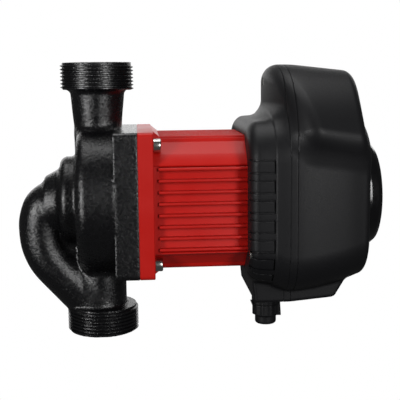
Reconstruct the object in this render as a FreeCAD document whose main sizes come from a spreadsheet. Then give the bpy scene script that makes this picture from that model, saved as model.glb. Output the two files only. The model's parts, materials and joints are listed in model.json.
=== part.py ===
import FreeCAD, Part
import math
import os
import Sketcher

# In-line wet-rotor circulator pump with a control box on the end of its motor.
# Z is the pipe axis, with the origin in the lower port face. X is the motor axis, half way up.
# Sizes along the motor are counted from the pipe axis, towards the control box.

V = FreeCAD.Vector
doc = FreeCAD.newDocument("circulator_pump")
sheet = doc.addObject("Spreadsheet::Sheet", "Sizes")

SIZES = [
    ("port_span", 180), ("port_thread_radius", 23.9), ("thread_root_radius", 22.42),
    ("thread_pitch", 2.309), ("thread_turns", 7), ("thread_tip_radius", 22.6), ("port_boss", 17.5),
    ("port_bore_radius", 12.8), ("outlet_bore_depth", 20), ("inlet_bore_depth", 16),
    ("neck_radius", 17.3), ("throat_radius", 14.8), ("throat_height", 40), ("throat_bore_radius", 10.5),
    ("lower_neck_radius", 16.2),
    ("boss_left", -25.5), ("boss_radius", 28.5), ("flare_left", -36), ("flare_radius", 21),
    ("volute_left", -14), ("volute_radius", 49), ("flange_left", 10.2), ("joint_face", 25.5),
    ("flange_half", 46.5), ("flange_corner", 3), ("elbow_radius", 15.5), ("passage_radius", 11.5),
    ("elbow_reach", 39), ("elbow_bend", 19.5), ("elbow_lower_bend", 35), ("elbow_knee", -34.9),
    ("elbow_foot_offset", -3), ("elbow_foot", -75), ("web_half", 6), ("web_left", -30),
    ("web_right", -10), ("web_top", -14), ("web_bottom", -58), ("web_knee", -48),
    ("chamber_left", -8), ("chamber_right", 12), ("chamber_radius", 41.5), ("chamber_lift", 2.5),
    ("throat_bore_floor", 25), ("rim_bore_radius", 40), ("recess_left", 20.5), ("recess_radius", 42.5),
    ("wear_ring_left", -15), ("wear_ring_outer", 16), ("wear_ring_inner", 13.95), ("ring_seat_right", -8),
    ("screw_offset", 38), ("screw_radius", 2.5), ("screw_hole_radius", 2.6), ("screw_grip", 12),
    ("screw_head_radius", 4.25), ("screw_head", 5), ("hex_key_radius", 2.3), ("hex_key_depth", 2.6),
    ("collar_left", -15), ("collar_outer", 13.9), ("collar_inner", 12), ("impeller_radius", 34),
    ("shroud_left", -6), ("shroud", 1.6), ("vane_right", 3), ("vane_inner", 13.5), ("vane_wall", 1.8),
    ("vane_count", 6), ("vane_knee_out", 9), ("vane_knee_up", 25), ("vane_tip_out", 25.5),
    ("vane_tip_up", 20.5), ("hub_left", -2), ("hub_right", 9), ("hub_radius", 8),
    ("shaft_radius", 4), ("shaft_bore", 1.2), ("shaft_left", -5), ("shaft_right", 89.5),
    ("nut_left", -7), ("nut_across", 6.5), ("running_gap", 0.04),
    ("plate_sheet", 1.2), ("plate_disc_left", 13), ("seat_left", 10), ("seat_right", 23),
    ("seat_outer", 10.2), ("bearing_outer", 9), ("front_bearing_left", 11), ("front_bearing", 11),
    ("plate_step_radius", 37), ("seal_inner", 38), ("seal_outer", 42), ("seal_left", 21.7),
    ("seal_right", 24.3), ("thrust_left", 23.6), ("thrust_right", 27.6), ("thrust_outer", 8.5),
    ("can_outer", 24), ("can_sheet", 0.8), ("can_rear", 81), ("rear_seat_outer", 9),
    ("rear_bearing_outer", 8.2), ("rear_seat_right", 92), ("rear_bearing_left", 82), ("rear_bearing", 8.5),
    ("rotor_left", 30), ("rotor_right", 76), ("core_outer", 19), ("magnet_outer", 22),
    ("magnet_gap", 1), ("sleeve_outer", 22.4), ("sleeve_cap", 0.6),
    ("stack_left", 34), ("stack_right", 74), ("stack_outer", 38), ("stack_inner", 24.3),
    ("slot_count", 12), ("slot_inner", 27), ("slot_outer", 34), ("slot_half_width", 2.6),
    ("slot_mouth_half", 1.1), ("coil_gap", 0.3), ("coil_left", 27), ("coil_right", 81),
    ("stator_flange", 9.8), ("gusset_right", 39.5), ("gusset_half", 30), ("motor_right", 104),
    ("end_wall", 4), ("side_floor", 40.5), ("top_floor", 39.5), ("side_lump", 44), ("top_lump", 43),
    ("upper_lump_edge", 25.5), ("lower_lump_edge", 30), ("lump_bend_out", 37.6),
    ("lump_bend_up", 32.4), ("lump_shoulder_out", 30), ("lump_shoulder_up", 39.4),
    ("lump_inner_edge", 28.5), ("fin_count", 8), ("fin_pitch", 7.3), ("fin_drop", 2.05),
    ("fin_side", 44.5), ("fin_top", 43), ("fin_wall", 1.8),
    ("drum_left", 93.7), ("drum_corner", 26), ("ring_shoulder", 98), ("ring_rear_half", 58),
    ("ring_half", 60), ("ring_bottom", -52), ("ring_top", 52),
    ("seam_left", 118.3), ("seam_right", 123), ("drum_half", 60.5), ("drum_bottom", -57),
    ("drum_top", 54), ("belly_right", 137), ("belly_half", 59), ("belly_bottom", -55),
    ("brow_right", 158), ("brow_half", 55), ("brow_bottom", -51.5), ("face_right", 172),
    ("face_half", 50), ("face_bottom", -47.5), ("face_corner", 24),
    ("head_left", 110), ("head_lift", 7.5), ("head_radius", 80), ("head_rear_bend", 8),
    ("head_crown_right", 128), ("head_front", 167), ("head_front_radius", 75.5),
    ("head_front_bend", 4), ("head_face", 170), ("ear_half", 69), ("ear_height", 44.6),
    ("head_root_half", 44), ("head_root_height", 22.7),
    ("block_left", 99.5), ("block_left_top", 97), ("block_bottom", -66), ("block_right", 150.5),
    ("block_right_top", 160), ("block_half", 36), ("block_root", -40), ("block_shoulder", -50),
    ("box_wall", 2.6),
    ("mount_wall", 2.5), ("mount_opening", 32), ("motor_gap", 0.6),
    ("boss_tube_radius", 4.2), ("lower_boss_out", 52), ("lower_boss_down", -30), ("upper_boss_up", 76),
    ("cover_screw_radius", 1.8), ("cover_screw_hole", 1.95), ("cover_head_radius", 3.1),
    ("cover_head", 2.4), ("cover_screw_end", 136), ("standoff_radius", 2.5), ("standoff_out", 27),
    ("standoff_down", -30), ("standoff_up", 36), ("spreader_right", 109), ("spreader_radius", 31.5),
    ("board_left", 117), ("board", 1.6), ("board_half", 32), ("board_bottom", -45), ("board_top", 70),
    ("capacitor_radius", 9), ("capacitor_length", 32), ("capacitor_out", 12), ("capacitor_up", 58),
    ("choke_ring", 9), ("choke_wire", 4), ("choke_out", -16), ("choke_up", 30),
    ("relay_width", 20), ("relay_height", 16), ("relay_depth", 16), ("relay_out", 6), ("relay_up", 22),
    ("module_width", 40), ("module_height", 24), ("module_depth", 6), ("terminal_width", 44),
    ("terminal_height", 13), ("terminal_depth", 14), ("terminal_up", -43), ("plug_width", 22),
    ("plug_height", 10), ("plug_up", 14),
    ("bezel_outer", 36), ("bezel_inner", 31), ("bezel_right", 183.8),
    ("panel_right", 182.5), ("panel_skin", 2), ("face_opening", 30), ("lens_width", 26),
    ("lens_height", 13), ("lens_up", 8), ("key_radius", 4), ("key_gap", 0.15), ("key_flange", 5),
    ("key_out", 13), ("key_up", -12), ("key_middle_up", -16), ("key_right", 183.1), ("key_left", 170.4),
    ("key_flange_left", 178.7), ("key_flange_right", 180.4), ("display_board_left", 167.5),
    ("display_board_radius", 27), ("post_radius", 1.6), ("post_out", 22), ("post_up", 2),
    ("switch_width", 6), ("switch_right", 169.5), ("digit_width", 24), ("digit_height", 11),
    ("digit_right", 180), ("gland_x", 112), ("gland_thread", 6), ("gland_hole", 6.2),
    ("gland_hex_across", 10), ("gland_hex_bottom", -76), ("gland_nut_radius", 8.2),
    ("gland_nut_bottom", -89.8), ("gland_nut_end", 6.8), ("gland_bore", 4.6), ("gland_seal_bore", 3.4),
    ("gland_inside_top", -57.5), ("locknut_top", -60), ("locknut_radius", 8.5),
]


class Size:
    """A number together with the spreadsheet formula that gives it."""

    def __init__(self, value, formula):
        self.value = value
        self.formula = formula

    def join(self, other, sign, result):
        return Size(result, f"({self.formula} {sign} {size(other).formula})")

    def __add__(self, other):
        return self.join(other, "+", self.value + size(other).value)

    def __sub__(self, other):
        return self.join(other, "-", self.value - size(other).value)

    def __mul__(self, other):
        return self.join(other, "*", self.value * size(other).value)

    def __truediv__(self, other):
        return self.join(other, "/", self.value / size(other).value)

    def __neg__(self):
        return self * -1

    __radd__ = __add__
    __rmul__ = __mul__


def size(number):
    """Lets a plain number stand where a Size is wanted."""
    if isinstance(number, Size):
        return number
    return Size(float(number), f"({number})")


class Sizes:
    """Holds one Size for each alias of the spreadsheet."""


dim = Sizes()
for row, (alias, number) in enumerate(SIZES, start=1):
    sheet.set(f"A{row}", alias)
    sheet.set(f"B{row}", str(number))
    sheet.setAlias(f"B{row}", alias)
    setattr(dim, alias, Size(float(number), f"Sizes.{alias}"))
doc.recompute()

axis_height = dim.port_span / 2
sub_parts = []


# ---------------------------------------------------------------- sketch and feature helpers

def new_body(label):
    """A sub-part whose local origin is where the motor axis crosses the pipe axis."""
    body = doc.addObject("PartDesign::Body", label)
    body.Label = label
    body.setExpression("Placement.Base.z", axis_height.formula)
    return body


def keep(part):
    """Marks an object as a sub-part that is written to its own file."""
    sub_parts.append(part)
    return part


def origin_feature(body, role):
    return [feature for feature in body.Origin.OriginFeatures if feature.Role == role][0]


def new_sketch(body, name, role, offset=0):
    sketch = body.newObject("Sketcher::SketchObject", name)
    sketch.AttachmentSupport = [(origin_feature(body, role), "")]
    sketch.MapMode = "FlatFace"
    sketch.setExpression("AttachmentOffset.Base.z", size(offset).formula)
    return sketch


def bind(sketch, kind, geometry, point, amount):
    """Adds a dimension from the sketch origin, or a radius, that follows the spreadsheet."""
    if kind == "Radius":
        index = sketch.addConstraint(Sketcher.Constraint(kind, geometry, amount.value))
    else:
        index = sketch.addConstraint(Sketcher.Constraint(kind, -1, 1, geometry, point, amount.value))
    sketch.setExpression(f"Constraints[{index}]", amount.formula)


def place_point(sketch, geometry, point, across, along):
    """Fixes a point of the geometry at two sizes, either of which may be nought."""
    if abs(across.value) < 1e-9:
        sketch.addConstraint(Sketcher.Constraint("PointOnObject", geometry, point, -2))
    else:
        bind(sketch, "DistanceX", geometry, point, across)
    if abs(along.value) < 1e-9:
        sketch.addConstraint(Sketcher.Constraint("PointOnObject", geometry, point, -1))
    else:
        bind(sketch, "DistanceY", geometry, point, along)


def rounding(before, corner, after, radius):
    """Start, end, centre and turn of the arc that rounds a corner."""
    back = (before - corner).normalize()
    onward = (after - corner).normalize()
    half = back.getAngle(onward) / 2
    reach = radius / math.tan(half)
    middle = (back + onward).normalize()
    centre = corner + middle * (radius / math.sin(half))
    turns_left = (corner - before).cross(after - corner).z > 0
    return corner + back * reach, corner + onward * reach, centre, turns_left


def outline(sketch, corners, closed=True):
    """Straight edges through the corners; a third size in a corner rounds it."""
    corners = [tuple(size(part) for part in corner) for corner in corners]
    points = [V(corner[0].value, corner[1].value, 0) for corner in corners]
    count = len(points)
    starts = list(points)
    ends = list(points)
    arcs = {}
    for i, corner in enumerate(corners):
        if len(corner) == 3:
            arc = rounding(points[i - 1], points[i], points[(i + 1) % count], corner[2].value)
            ends[i], starts[i] = arc[0], arc[1]
            arcs[i] = arc
    edges = count if closed else count - 1
    lines = [sketch.addGeometry(Part.LineSegment(starts[i], ends[(i + 1) % count])) for i in range(edges)]
    for i, corner in enumerate(corners):
        if i in arcs:
            round_corner(sketch, lines[i - 1], lines[i], corner, points[i], arcs[i])
        elif closed or 0 < i < count - 1:
            sketch.addConstraint(Sketcher.Constraint("Coincident", lines[i - 1], 2, lines[i], 1))
            place_point(sketch, lines[i], 1, corner[0], corner[1])
        elif i == 0:
            place_point(sketch, lines[0], 1, corner[0], corner[1])
        else:
            place_point(sketch, lines[-1], 2, corner[0], corner[1])


def round_corner(sketch, line_in, line_out, corner, point, arc):
    """Joins two edges with a tangent arc and keeps their meeting point as a fixed mark."""
    start, end, centre, turns_left = arc
    first, last = (start, end) if turns_left else (end, start)
    angles = [math.atan2(place.y - centre.y, place.x - centre.x) for place in (first, last)]
    circle = Part.Circle(centre, V(0, 0, 1), corner[2].value)
    curve = sketch.addGeometry(Part.ArcOfCircle(circle, angles[0], angles[1]))
    mark = sketch.addGeometry(Part.Point(point), True)
    arc_in, arc_out = (1, 2) if turns_left else (2, 1)
    sketch.addConstraint(Sketcher.Constraint("Tangent", line_in, 2, curve, arc_in))
    sketch.addConstraint(Sketcher.Constraint("Tangent", curve, arc_out, line_out, 1))
    sketch.addConstraint(Sketcher.Constraint("PointOnObject", mark, 1, line_in))
    sketch.addConstraint(Sketcher.Constraint("PointOnObject", mark, 1, line_out))
    place_point(sketch, mark, 1, corner[0], corner[1])
    bind(sketch, "Radius", curve, 0, corner[2])


def circle(sketch, across, along, radius):
    across, along, radius = size(across), size(along), size(radius)
    curve = sketch.addGeometry(Part.Circle(V(across.value, along.value, 0), V(0, 0, 1), radius.value))
    if abs(across.value) < 1e-9 and abs(along.value) < 1e-9:
        sketch.addConstraint(Sketcher.Constraint("Coincident", curve, 3, -1, 1))
    else:
        place_point(sketch, curve, 3, across, along)
    bind(sketch, "Radius", curve, 0, radius)


def rectangle(sketch, left, bottom, right, top):
    outline(sketch, [(left, bottom), (right, bottom), (right, top), (left, top)])


def hexagon(across, along, half_across):
    """Corners of a hexagon with the given half width across its flats."""
    radius = half_across * (2 / math.sqrt(3))
    angles = [math.radians(60 * i + 30) for i in range(6)]
    return [(across + radius * math.cos(a), along + radius * math.sin(a)) for a in angles]


def turned(body, name, corners, about="H_Axis", kind="Revolution", start=0):
    """A profile in the X-Z plane turned about the motor axis (H) or the pipe axis (V)."""
    sketch = new_sketch(body, f"{name}_profile", "XZ_Plane", start)
    outline(sketch, corners)
    feature = body.newObject(f"PartDesign::{kind}", name)
    feature.Profile = sketch
    feature.ReferenceAxis = (sketch, [about])
    feature.Angle = 360
    return feature


def along_motor(body, name, left, right, draw, kind="Pad"):
    """A shape drawn across the motor axis and carried from left to right along it."""
    left, right = size(left), size(right)
    sketch = new_sketch(body, f"{name}_shape", "YZ_Plane", left)
    draw(sketch)
    feature = body.newObject(f"PartDesign::{kind}", name)
    feature.Profile = sketch
    feature.setExpression("Length", (right - left).formula)
    feature.Reversed = kind == "Pocket"
    return feature


def up_pipe(body, name, bottom, top, draw, kind="Pad"):
    """A shape drawn across the pipe axis and carried from bottom to top."""
    bottom, top = size(bottom), size(top)
    sketch = new_sketch(body, f"{name}_shape", "XY_Plane", bottom)
    draw(sketch)
    feature = body.newObject(f"PartDesign::{kind}", name)
    feature.Profile = sketch
    feature.setExpression("Length", (top - bottom).formula)
    feature.Reversed = kind == "Pocket"
    return feature


def sideways(body, name, half_width, draw, kind="Pad"):
    """A side-view shape carried equally to both sides of the middle plane."""
    sketch = new_sketch(body, f"{name}_shape", "XZ_Plane")
    draw(sketch)
    feature = body.newObject(f"PartDesign::{kind}", name)
    feature.Profile = sketch
    feature.SideType = "Symmetric"
    feature.setExpression("Length", (size(half_width) * 2).formula)
    return feature


def around_motor(body, name, feature, count):
    pattern = body.newObject("PartDesign::PolarPattern", name)
    pattern.Originals = [feature]
    pattern.Axis = (origin_feature(body, "X_Axis"), [""])
    pattern.Angle = 360
    pattern.setExpression("Occurrences", size(count).formula)
    body.Tip = pattern
    return pattern


def in_a_row(body, name, feature, axis_role, length, count):
    pattern = body.newObject("PartDesign::LinearPattern", name)
    pattern.Originals = [feature]
    pattern.Direction = (origin_feature(body, axis_role), [""])
    pattern.setExpression("Length", size(length).formula)
    pattern.setExpression("Occurrences", size(count).formula)
    body.Tip = pattern
    return pattern


def ring_corners(left, right, inner, outer):
    return [(left, inner), (right, inner), (right, outer), (left, outer)]


def ring(label, left, right, inner, outer):
    """A plain ring, bush or disc about the motor axis."""
    body = keep(new_body(label))
    turned(body, label + "_ring", ring_corners(left, right, inner, outer))
    return body


def box_at(label, left, right, middle, low, width, height):
    """A plain block with its length along the motor axis."""
    body = keep(new_body(label))
    middle, low = size(middle), size(low)
    half = size(width) / 2
    along_motor(body, label + "_block", left, right,
                lambda sketch: rectangle(sketch, middle - half, low, middle + half, low + height))
    return body


def boolean(kind, label, first, second):
    joined = doc.addObject(f"Part::{kind}", label)
    joined.Label = label
    joined.Base = first
    joined.Tool = second
    return joined


# ---------------------------------------------------------------- pump housing

def port(body, name, end, neck_radius, root_height, root_radius):
    """A threaded pipe port about the pipe axis; end is 1 for the top and -1 for the bottom."""
    half = dim.port_span / 2
    boss = half - dim.port_boss
    chamfer = dim.port_thread_radius - dim.thread_tip_radius
    turned(body, name, [
        (0, root_height * end), (root_radius, root_height * end),
        (neck_radius, boss * end, 3.5), (dim.port_thread_radius, boss * end),
        (dim.port_thread_radius, (half - chamfer) * end), (dim.thread_tip_radius, half * end),
        (0, half * end)], about="V_Axis")


def port_thread(body, name, end):
    """Thread grooves as rings, one to each pitch."""
    half_pitch = dim.thread_pitch / 2
    low = dim.port_span / 2 - dim.thread_pitch * 1.35
    flat = half_pitch * 0.8
    outside = dim.port_thread_radius + 0.5
    groove = turned(body, name, [
        (dim.thread_root_radius, low * end), (outside, (low + flat) * end),
        (outside, (low - flat) * end)], about="V_Axis", kind="Groove")
    pattern = in_a_row(body, name + "_turns", groove, "Z_Axis",
                       dim.thread_pitch * (dim.thread_turns - 1), dim.thread_turns)
    pattern.Reversed = end > 0


def elbow(body, name, kind, radius):
    """The suction tube: from the port below, out to the side and round into the volute."""
    start = dim.volute_left
    reach = -dim.elbow_reach
    route = new_sketch(body, name + "_route", "XZ_Plane")
    outline(route, [(start, 0), (reach, 0, dim.elbow_bend), (reach, dim.elbow_knee, dim.elbow_lower_bend),
                    (dim.elbow_foot_offset, dim.elbow_foot)], closed=False)
    section = new_sketch(body, name + "_section", "YZ_Plane", start)
    circle(section, 0, 0, radius)
    pipe = body.newObject(f"PartDesign::{kind}", name)
    pipe.Profile = section
    pipe.Spine = (route, [f"Edge{i}" for i in range(1, 6)])


def make_pump_housing():
    body = keep(new_body("pump_housing"))
    turned(body, "volute", [
        (dim.flare_left, 0), (dim.flare_left, dim.elbow_radius), (dim.boss_left, dim.flare_radius),
        (dim.boss_left, dim.boss_radius, 5), (dim.volute_left, dim.boss_radius, 2.5),
        (dim.volute_left, dim.volute_radius, 6), (dim.flange_left, dim.volute_radius),
        (dim.flange_left, 0)])
    half = dim.flange_half
    corner = dim.flange_corner
    along_motor(body, "flange", dim.flange_left, dim.joint_face, lambda sketch: outline(
        sketch, [(-half, -half, corner), (half, -half, corner), (half, half, corner), (-half, half, corner)]))
    port(body, "outlet_port", 1, dim.neck_radius, dim.throat_height, dim.throat_radius)
    up_pipe(body, "outlet_root", dim.throat_bore_floor, dim.throat_height + 1,
            lambda sketch: circle(sketch, 0, 0, dim.throat_radius))
    port(body, "inlet_port", -1, dim.lower_neck_radius, dim.throat_height, dim.lower_neck_radius)
    elbow(body, "suction_elbow", "AdditivePipe", dim.elbow_radius)
    sideways(body, "elbow_web", dim.web_half, lambda sketch: outline(sketch, [
        (dim.web_left, dim.web_top), (dim.web_right, dim.web_top), (dim.web_right, dim.web_bottom),
        (dim.web_left, dim.web_knee)]))
    along_motor(body, "chamber", dim.chamber_left, dim.chamber_right,
                lambda sketch: circle(sketch, 0, dim.chamber_lift, dim.chamber_radius), "Pocket")
    turned(body, "motor_opening", [
        (dim.chamber_right - 1, 0), (dim.joint_face, 0), (dim.joint_face, dim.recess_radius),
        (dim.recess_left, dim.recess_radius), (dim.recess_left, dim.rim_bore_radius),
        (dim.chamber_right - 1, dim.rim_bore_radius)], kind="Groove")
    turned(body, "wear_ring_seat", ring_corners(dim.wear_ring_left, dim.ring_seat_right, 0,
                                                dim.wear_ring_outer), kind="Groove")
    elbow(body, "suction_passage", "SubtractivePipe", dim.passage_radius)
    top = dim.port_span / 2
    turned(body, "outlet_passage", [
        (0, dim.throat_bore_floor), (dim.throat_bore_radius, dim.throat_bore_floor),
        (dim.throat_bore_radius, dim.throat_height), (dim.port_bore_radius, top - dim.outlet_bore_depth),
        (dim.port_bore_radius, top), (0, top)], about="V_Axis", kind="Groove")
    turned(body, "inlet_passage", [
        (0, -top), (dim.port_bore_radius, -top), (dim.port_bore_radius, dim.inlet_bore_depth - top),
        (0, dim.inlet_bore_depth - top)], about="V_Axis", kind="Groove")
    port_thread(body, "outlet_thread", 1)
    port_thread(body, "inlet_thread", -1)
    hole = along_motor(body, "screw_hole", dim.joint_face - dim.screw_grip, dim.joint_face,
                       lambda sketch: circle(sketch, dim.screw_offset, dim.screw_offset,
                                             dim.screw_hole_radius), "Pocket")
    around_motor(body, "screw_holes", hole, 4)


# ---------------------------------------------------------------- impeller, shaft and rotor

def make_impeller():
    body = keep(new_body("impeller"))
    front_right = dim.shroud_left + dim.shroud
    turned(body, "front_shroud", [
        (dim.collar_left, dim.collar_inner), (front_right, dim.collar_inner),
        (front_right, dim.impeller_radius), (dim.shroud_left, dim.impeller_radius),
        (dim.shroud_left, dim.collar_outer), (dim.collar_left, dim.collar_outer)])

    def draw_vane(sketch):
        """A vane that leans back as it runs outwards."""
        inner, wall = dim.vane_inner, dim.vane_wall
        out, up = dim.vane_knee_out, dim.vane_knee_up
        tip_out, tip_up = dim.vane_tip_out, dim.vane_tip_up
        outline(sketch, [(0, inner), (wall, inner), (out, up - wall), (tip_out, tip_up - wall),
                         (tip_out, tip_up), (out - wall, up)])

    vane = along_motor(body, "vane", front_right - 0.2, dim.vane_right + 0.2, draw_vane)
    around_motor(body, "vanes", vane, dim.vane_count)
    turned(body, "rear_shroud", [
        (dim.hub_left, dim.shaft_radius), (dim.hub_right, dim.shaft_radius),
        (dim.hub_right, dim.hub_radius), (dim.vane_right + dim.shroud, dim.hub_radius),
        (dim.vane_right + dim.shroud, dim.impeller_radius), (dim.vane_right, dim.impeller_radius),
        (dim.vane_right, dim.hub_radius), (dim.hub_left, dim.hub_radius)])


def make_impeller_nut():
    body = keep(new_body("impeller_nut"))
    along_motor(body, "nut_hexagon", dim.nut_left, dim.hub_left,
                lambda sketch: outline(sketch, hexagon(size(0), size(0), dim.nut_across)))
    turned(body, "nut_hole", ring_corners(dim.shaft_left, dim.hub_left, 0, dim.shaft_radius),
           kind="Groove")


def make_rotor():
    ring("shaft", dim.shaft_left, dim.shaft_right, dim.shaft_bore, dim.shaft_radius)
    ring("rotor_core", dim.rotor_left, dim.rotor_right, dim.shaft_radius, dim.core_outer)
    magnets = keep(new_body("rotor_magnets"))
    turned(magnets, "magnet_ring", ring_corners(dim.rotor_left, dim.rotor_right, dim.core_outer,
                                                dim.magnet_outer))
    half_gap = dim.magnet_gap / 2
    for name, across, along in (("upright", half_gap, dim.magnet_outer + 1),
                                ("level", dim.magnet_outer + 1, half_gap)):
        along_motor(magnets, f"{name}_gap", dim.rotor_left, dim.rotor_right,
                    lambda sketch: rectangle(sketch, -across, -along, across, along), "Pocket")
    sleeve = keep(new_body("rotor_sleeve"))
    turned(sleeve, "sleeve_tube", ring_corners(dim.rotor_left - dim.sleeve_cap,
                                               dim.rotor_right + dim.sleeve_cap,
                                               dim.shaft_radius, dim.sleeve_outer))
    turned(sleeve, "sleeve_room", ring_corners(dim.rotor_left, dim.rotor_right, 0, dim.magnet_outer),
           kind="Groove")


# ---------------------------------------------------------------- bearings, seal and rotor can

def make_bearing_side():
    ring("wear_ring", dim.wear_ring_left, dim.ring_seat_right, dim.wear_ring_inner, dim.wear_ring_outer)
    gap = dim.running_gap
    ring("front_bearing", dim.front_bearing_left, dim.front_bearing_left + dim.front_bearing,
         dim.shaft_radius + gap, dim.bearing_outer)
    ring("rear_bearing", dim.rear_bearing_left, dim.rear_bearing_left + dim.rear_bearing,
         dim.shaft_radius + gap, dim.rear_bearing_outer)
    ring("thrust_bearing", dim.thrust_left, dim.thrust_right, dim.shaft_radius, dim.thrust_outer)
    ring("housing_seal", dim.seal_left, dim.seal_right, dim.seal_inner, dim.seal_outer)
    plate = keep(new_body("bearing_plate"))
    sheet_metal = dim.plate_sheet
    step = dim.plate_step_radius
    turned(plate, "plate_profile", [
        (dim.seat_left, dim.bearing_outer), (dim.seat_right, dim.bearing_outer),
        (dim.seat_right, dim.seat_outer), (dim.plate_disc_left + sheet_metal, dim.seat_outer),
        (dim.plate_disc_left + sheet_metal, step - sheet_metal), (dim.seal_left, step - sheet_metal),
        (dim.seal_left, dim.seal_outer), (dim.recess_left, dim.seal_outer), (dim.recess_left, step),
        (dim.plate_disc_left, step), (dim.plate_disc_left, dim.seat_outer),
        (dim.seat_left, dim.seat_outer)])


def make_rotor_can():
    can = keep(new_body("rotor_can"))
    wall = dim.can_sheet
    turned(can, "can_profile", [
        (dim.seal_right, dim.can_outer - wall), (dim.can_rear - wall, dim.can_outer - wall),
        (dim.can_rear - wall, dim.rear_bearing_outer), (dim.rear_seat_right - wall, dim.rear_bearing_outer),
        (dim.rear_seat_right - wall, 0), (dim.rear_seat_right, 0), (dim.rear_seat_right, dim.rear_seat_outer),
        (dim.can_rear, dim.rear_seat_outer), (dim.can_rear, dim.can_outer),
        (dim.joint_face, dim.can_outer), (dim.joint_face, dim.seal_outer), (dim.seal_right, dim.seal_outer)])


# ---------------------------------------------------------------- stator and its housing

def draw_slot(shrink):
    """One winding slot, with its narrow mouth towards the rotor."""

    def draw(sketch):
        side = dim.slot_half_width - shrink
        low = dim.slot_inner + shrink
        high = dim.slot_outer - shrink
        outline(sketch, [(-side, low), (side, low), (side * 1.5, high), (side * -1.5, high)])

    return draw


def make_stator():
    core = keep(new_body("stator_core"))
    turned(core, "stack", ring_corners(dim.stack_left, dim.stack_right, dim.stack_inner, dim.stack_outer))
    slot = along_motor(core, "slot", dim.stack_left, dim.stack_right, draw_slot(size(0)), "Pocket")
    around_motor(core, "slots", slot, dim.slot_count)
    mouth_half = dim.slot_mouth_half
    mouth = along_motor(core, "mouth", dim.stack_left, dim.stack_right,
                        lambda sketch: rectangle(sketch, -mouth_half, dim.stack_inner - 1, mouth_half,
                                                 dim.slot_inner + 0.5), "Pocket")
    around_motor(core, "mouths", mouth, dim.slot_count)
    windings = keep(new_body("stator_windings"))
    gap = dim.coil_gap
    turned(windings, "front_coil_end", ring_corners(dim.coil_left, dim.stack_left - gap,
                                                    dim.slot_inner + gap, dim.slot_outer - gap))
    coil = along_motor(windings, "coil_side", dim.stack_left - 1, dim.stack_right + 1, draw_slot(gap))
    around_motor(windings, "coil_sides", coil, dim.slot_count)
    turned(windings, "rear_coil_end", ring_corners(dim.stack_right + gap, dim.coil_right,
                                                   dim.slot_inner + gap, dim.slot_outer - gap))


def motor_section(grow, side_flat, top_flat):
    """The motor body across its axis: flats for the fins and a raised, faceted lump at each corner."""
    quarter = [
        (side_flat + grow, None), (dim.side_lump + grow, None),
        (dim.lump_bend_out + grow, dim.lump_bend_up + grow),
        (dim.lump_shoulder_out + grow, dim.lump_shoulder_up + grow),
        (dim.lump_inner_edge, dim.top_lump + grow), (dim.lump_inner_edge - 1, top_flat + grow)]
    corners = []
    for side, end in ((1, 1), (-1, 1), (-1, -1), (1, -1)):
        edge = dim.upper_lump_edge if end > 0 else dim.lower_lump_edge
        heights = [edge - 1, edge]
        turn = [(across * side, (heights[i] if along is None else along) * end)
                for i, (across, along) in enumerate(quarter)]
        corners += turn if side == end else turn[::-1]
    return corners


def make_stator_housing():
    body = keep(new_body("stator_housing"))
    right = dim.motor_right
    flange_right = dim.joint_face + dim.stator_flange
    half = dim.flange_half
    corner = dim.flange_corner
    along_motor(body, "stator_flange", dim.joint_face, flange_right, lambda sketch: outline(
        sketch, [(-half, -half, corner), (half, -half, corner), (half, half, corner), (-half, half, corner)]))
    along_motor(body, "motor_body", flange_right - 1, right,
                lambda sketch: outline(sketch, motor_section(size(0), dim.side_floor, dim.top_floor)))
    wall = dim.fin_wall / 2
    lowest = dim.fin_pitch * (dim.fin_count - 1) / -2
    reach = dim.fin_pitch * (dim.fin_count - 1)
    side = dim.fin_side
    level = lowest - dim.fin_drop
    fin = along_motor(body, "side_fin", flange_right - 1, right,
                      lambda sketch: rectangle(sketch, -side, level - wall, side, level + wall))
    in_a_row(body, "side_fins", fin, "Z_Axis", reach, dim.fin_count)
    top = dim.fin_top
    fin = along_motor(body, "top_fin", flange_right - 1, right,
                      lambda sketch: rectangle(sketch, lowest - wall, -top, lowest + wall, top))
    in_a_row(body, "top_fins", fin, "Y_Axis", reach, dim.fin_count)
    gusset = dim.gusset_half
    sideways(body, "gussets", gusset, lambda sketch: outline(sketch, [
        (flange_right - 1, -half), (flange_right, -half), (dim.gusset_right, -dim.top_lump),
        (dim.gusset_right, dim.top_lump), (flange_right, half), (flange_right - 1, half)]))
    turned(body, "stator_bore", ring_corners(dim.joint_face, right - dim.end_wall, 0, dim.stack_outer),
           kind="Groove")
    hole = along_motor(body, "flange_hole", dim.joint_face, flange_right,
                       lambda sketch: circle(sketch, dim.screw_offset, dim.screw_offset,
                                             dim.screw_hole_radius), "Pocket")
    around_motor(body, "flange_holes", hole, 4)
    along_motor(body, "lead_hole", right - dim.end_wall, right,
                lambda sketch: circle(sketch, 0, dim.plug_up, dim.plug_height / 2), "Pocket")


def make_flange_screws():
    body = keep(new_body("flange_screws"))
    out = dim.screw_offset
    head_left = dim.joint_face + dim.stator_flange
    shank = along_motor(body, "shank", dim.joint_face - dim.screw_grip + 1, head_left,
                        lambda sketch: circle(sketch, out, out, dim.screw_radius))
    head = along_motor(body, "head", head_left, head_left + dim.screw_head,
                       lambda sketch: circle(sketch, out, out, dim.screw_head_radius))
    key = along_motor(body, "hex_key_hole", head_left + dim.screw_head - dim.hex_key_depth,
                      head_left + dim.screw_head,
                      lambda sketch: outline(sketch, hexagon(out, out, dim.hex_key_radius)), "Pocket")
    pattern = around_motor(body, "four_screws", shank, 4)
    pattern.Originals = [shank, head, key]


# ---------------------------------------------------------------- control box

def drum_section(sketch, half, low, high, corner):
    outline(sketch, [(-half, low, corner), (half, low, corner), (half, high, corner), (-half, high, corner)])


def box_form(label, wall):
    """The control box as a solid: a squarish drum, a terminal block below and an arched head above.
    A wall of more than nought gives the room inside."""
    wall = size(wall)
    drum = drum_form(label + "_drum", wall)
    head = head_form(label + "_head", wall)
    return boolean("Fuse", label, drum, head)


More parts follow.
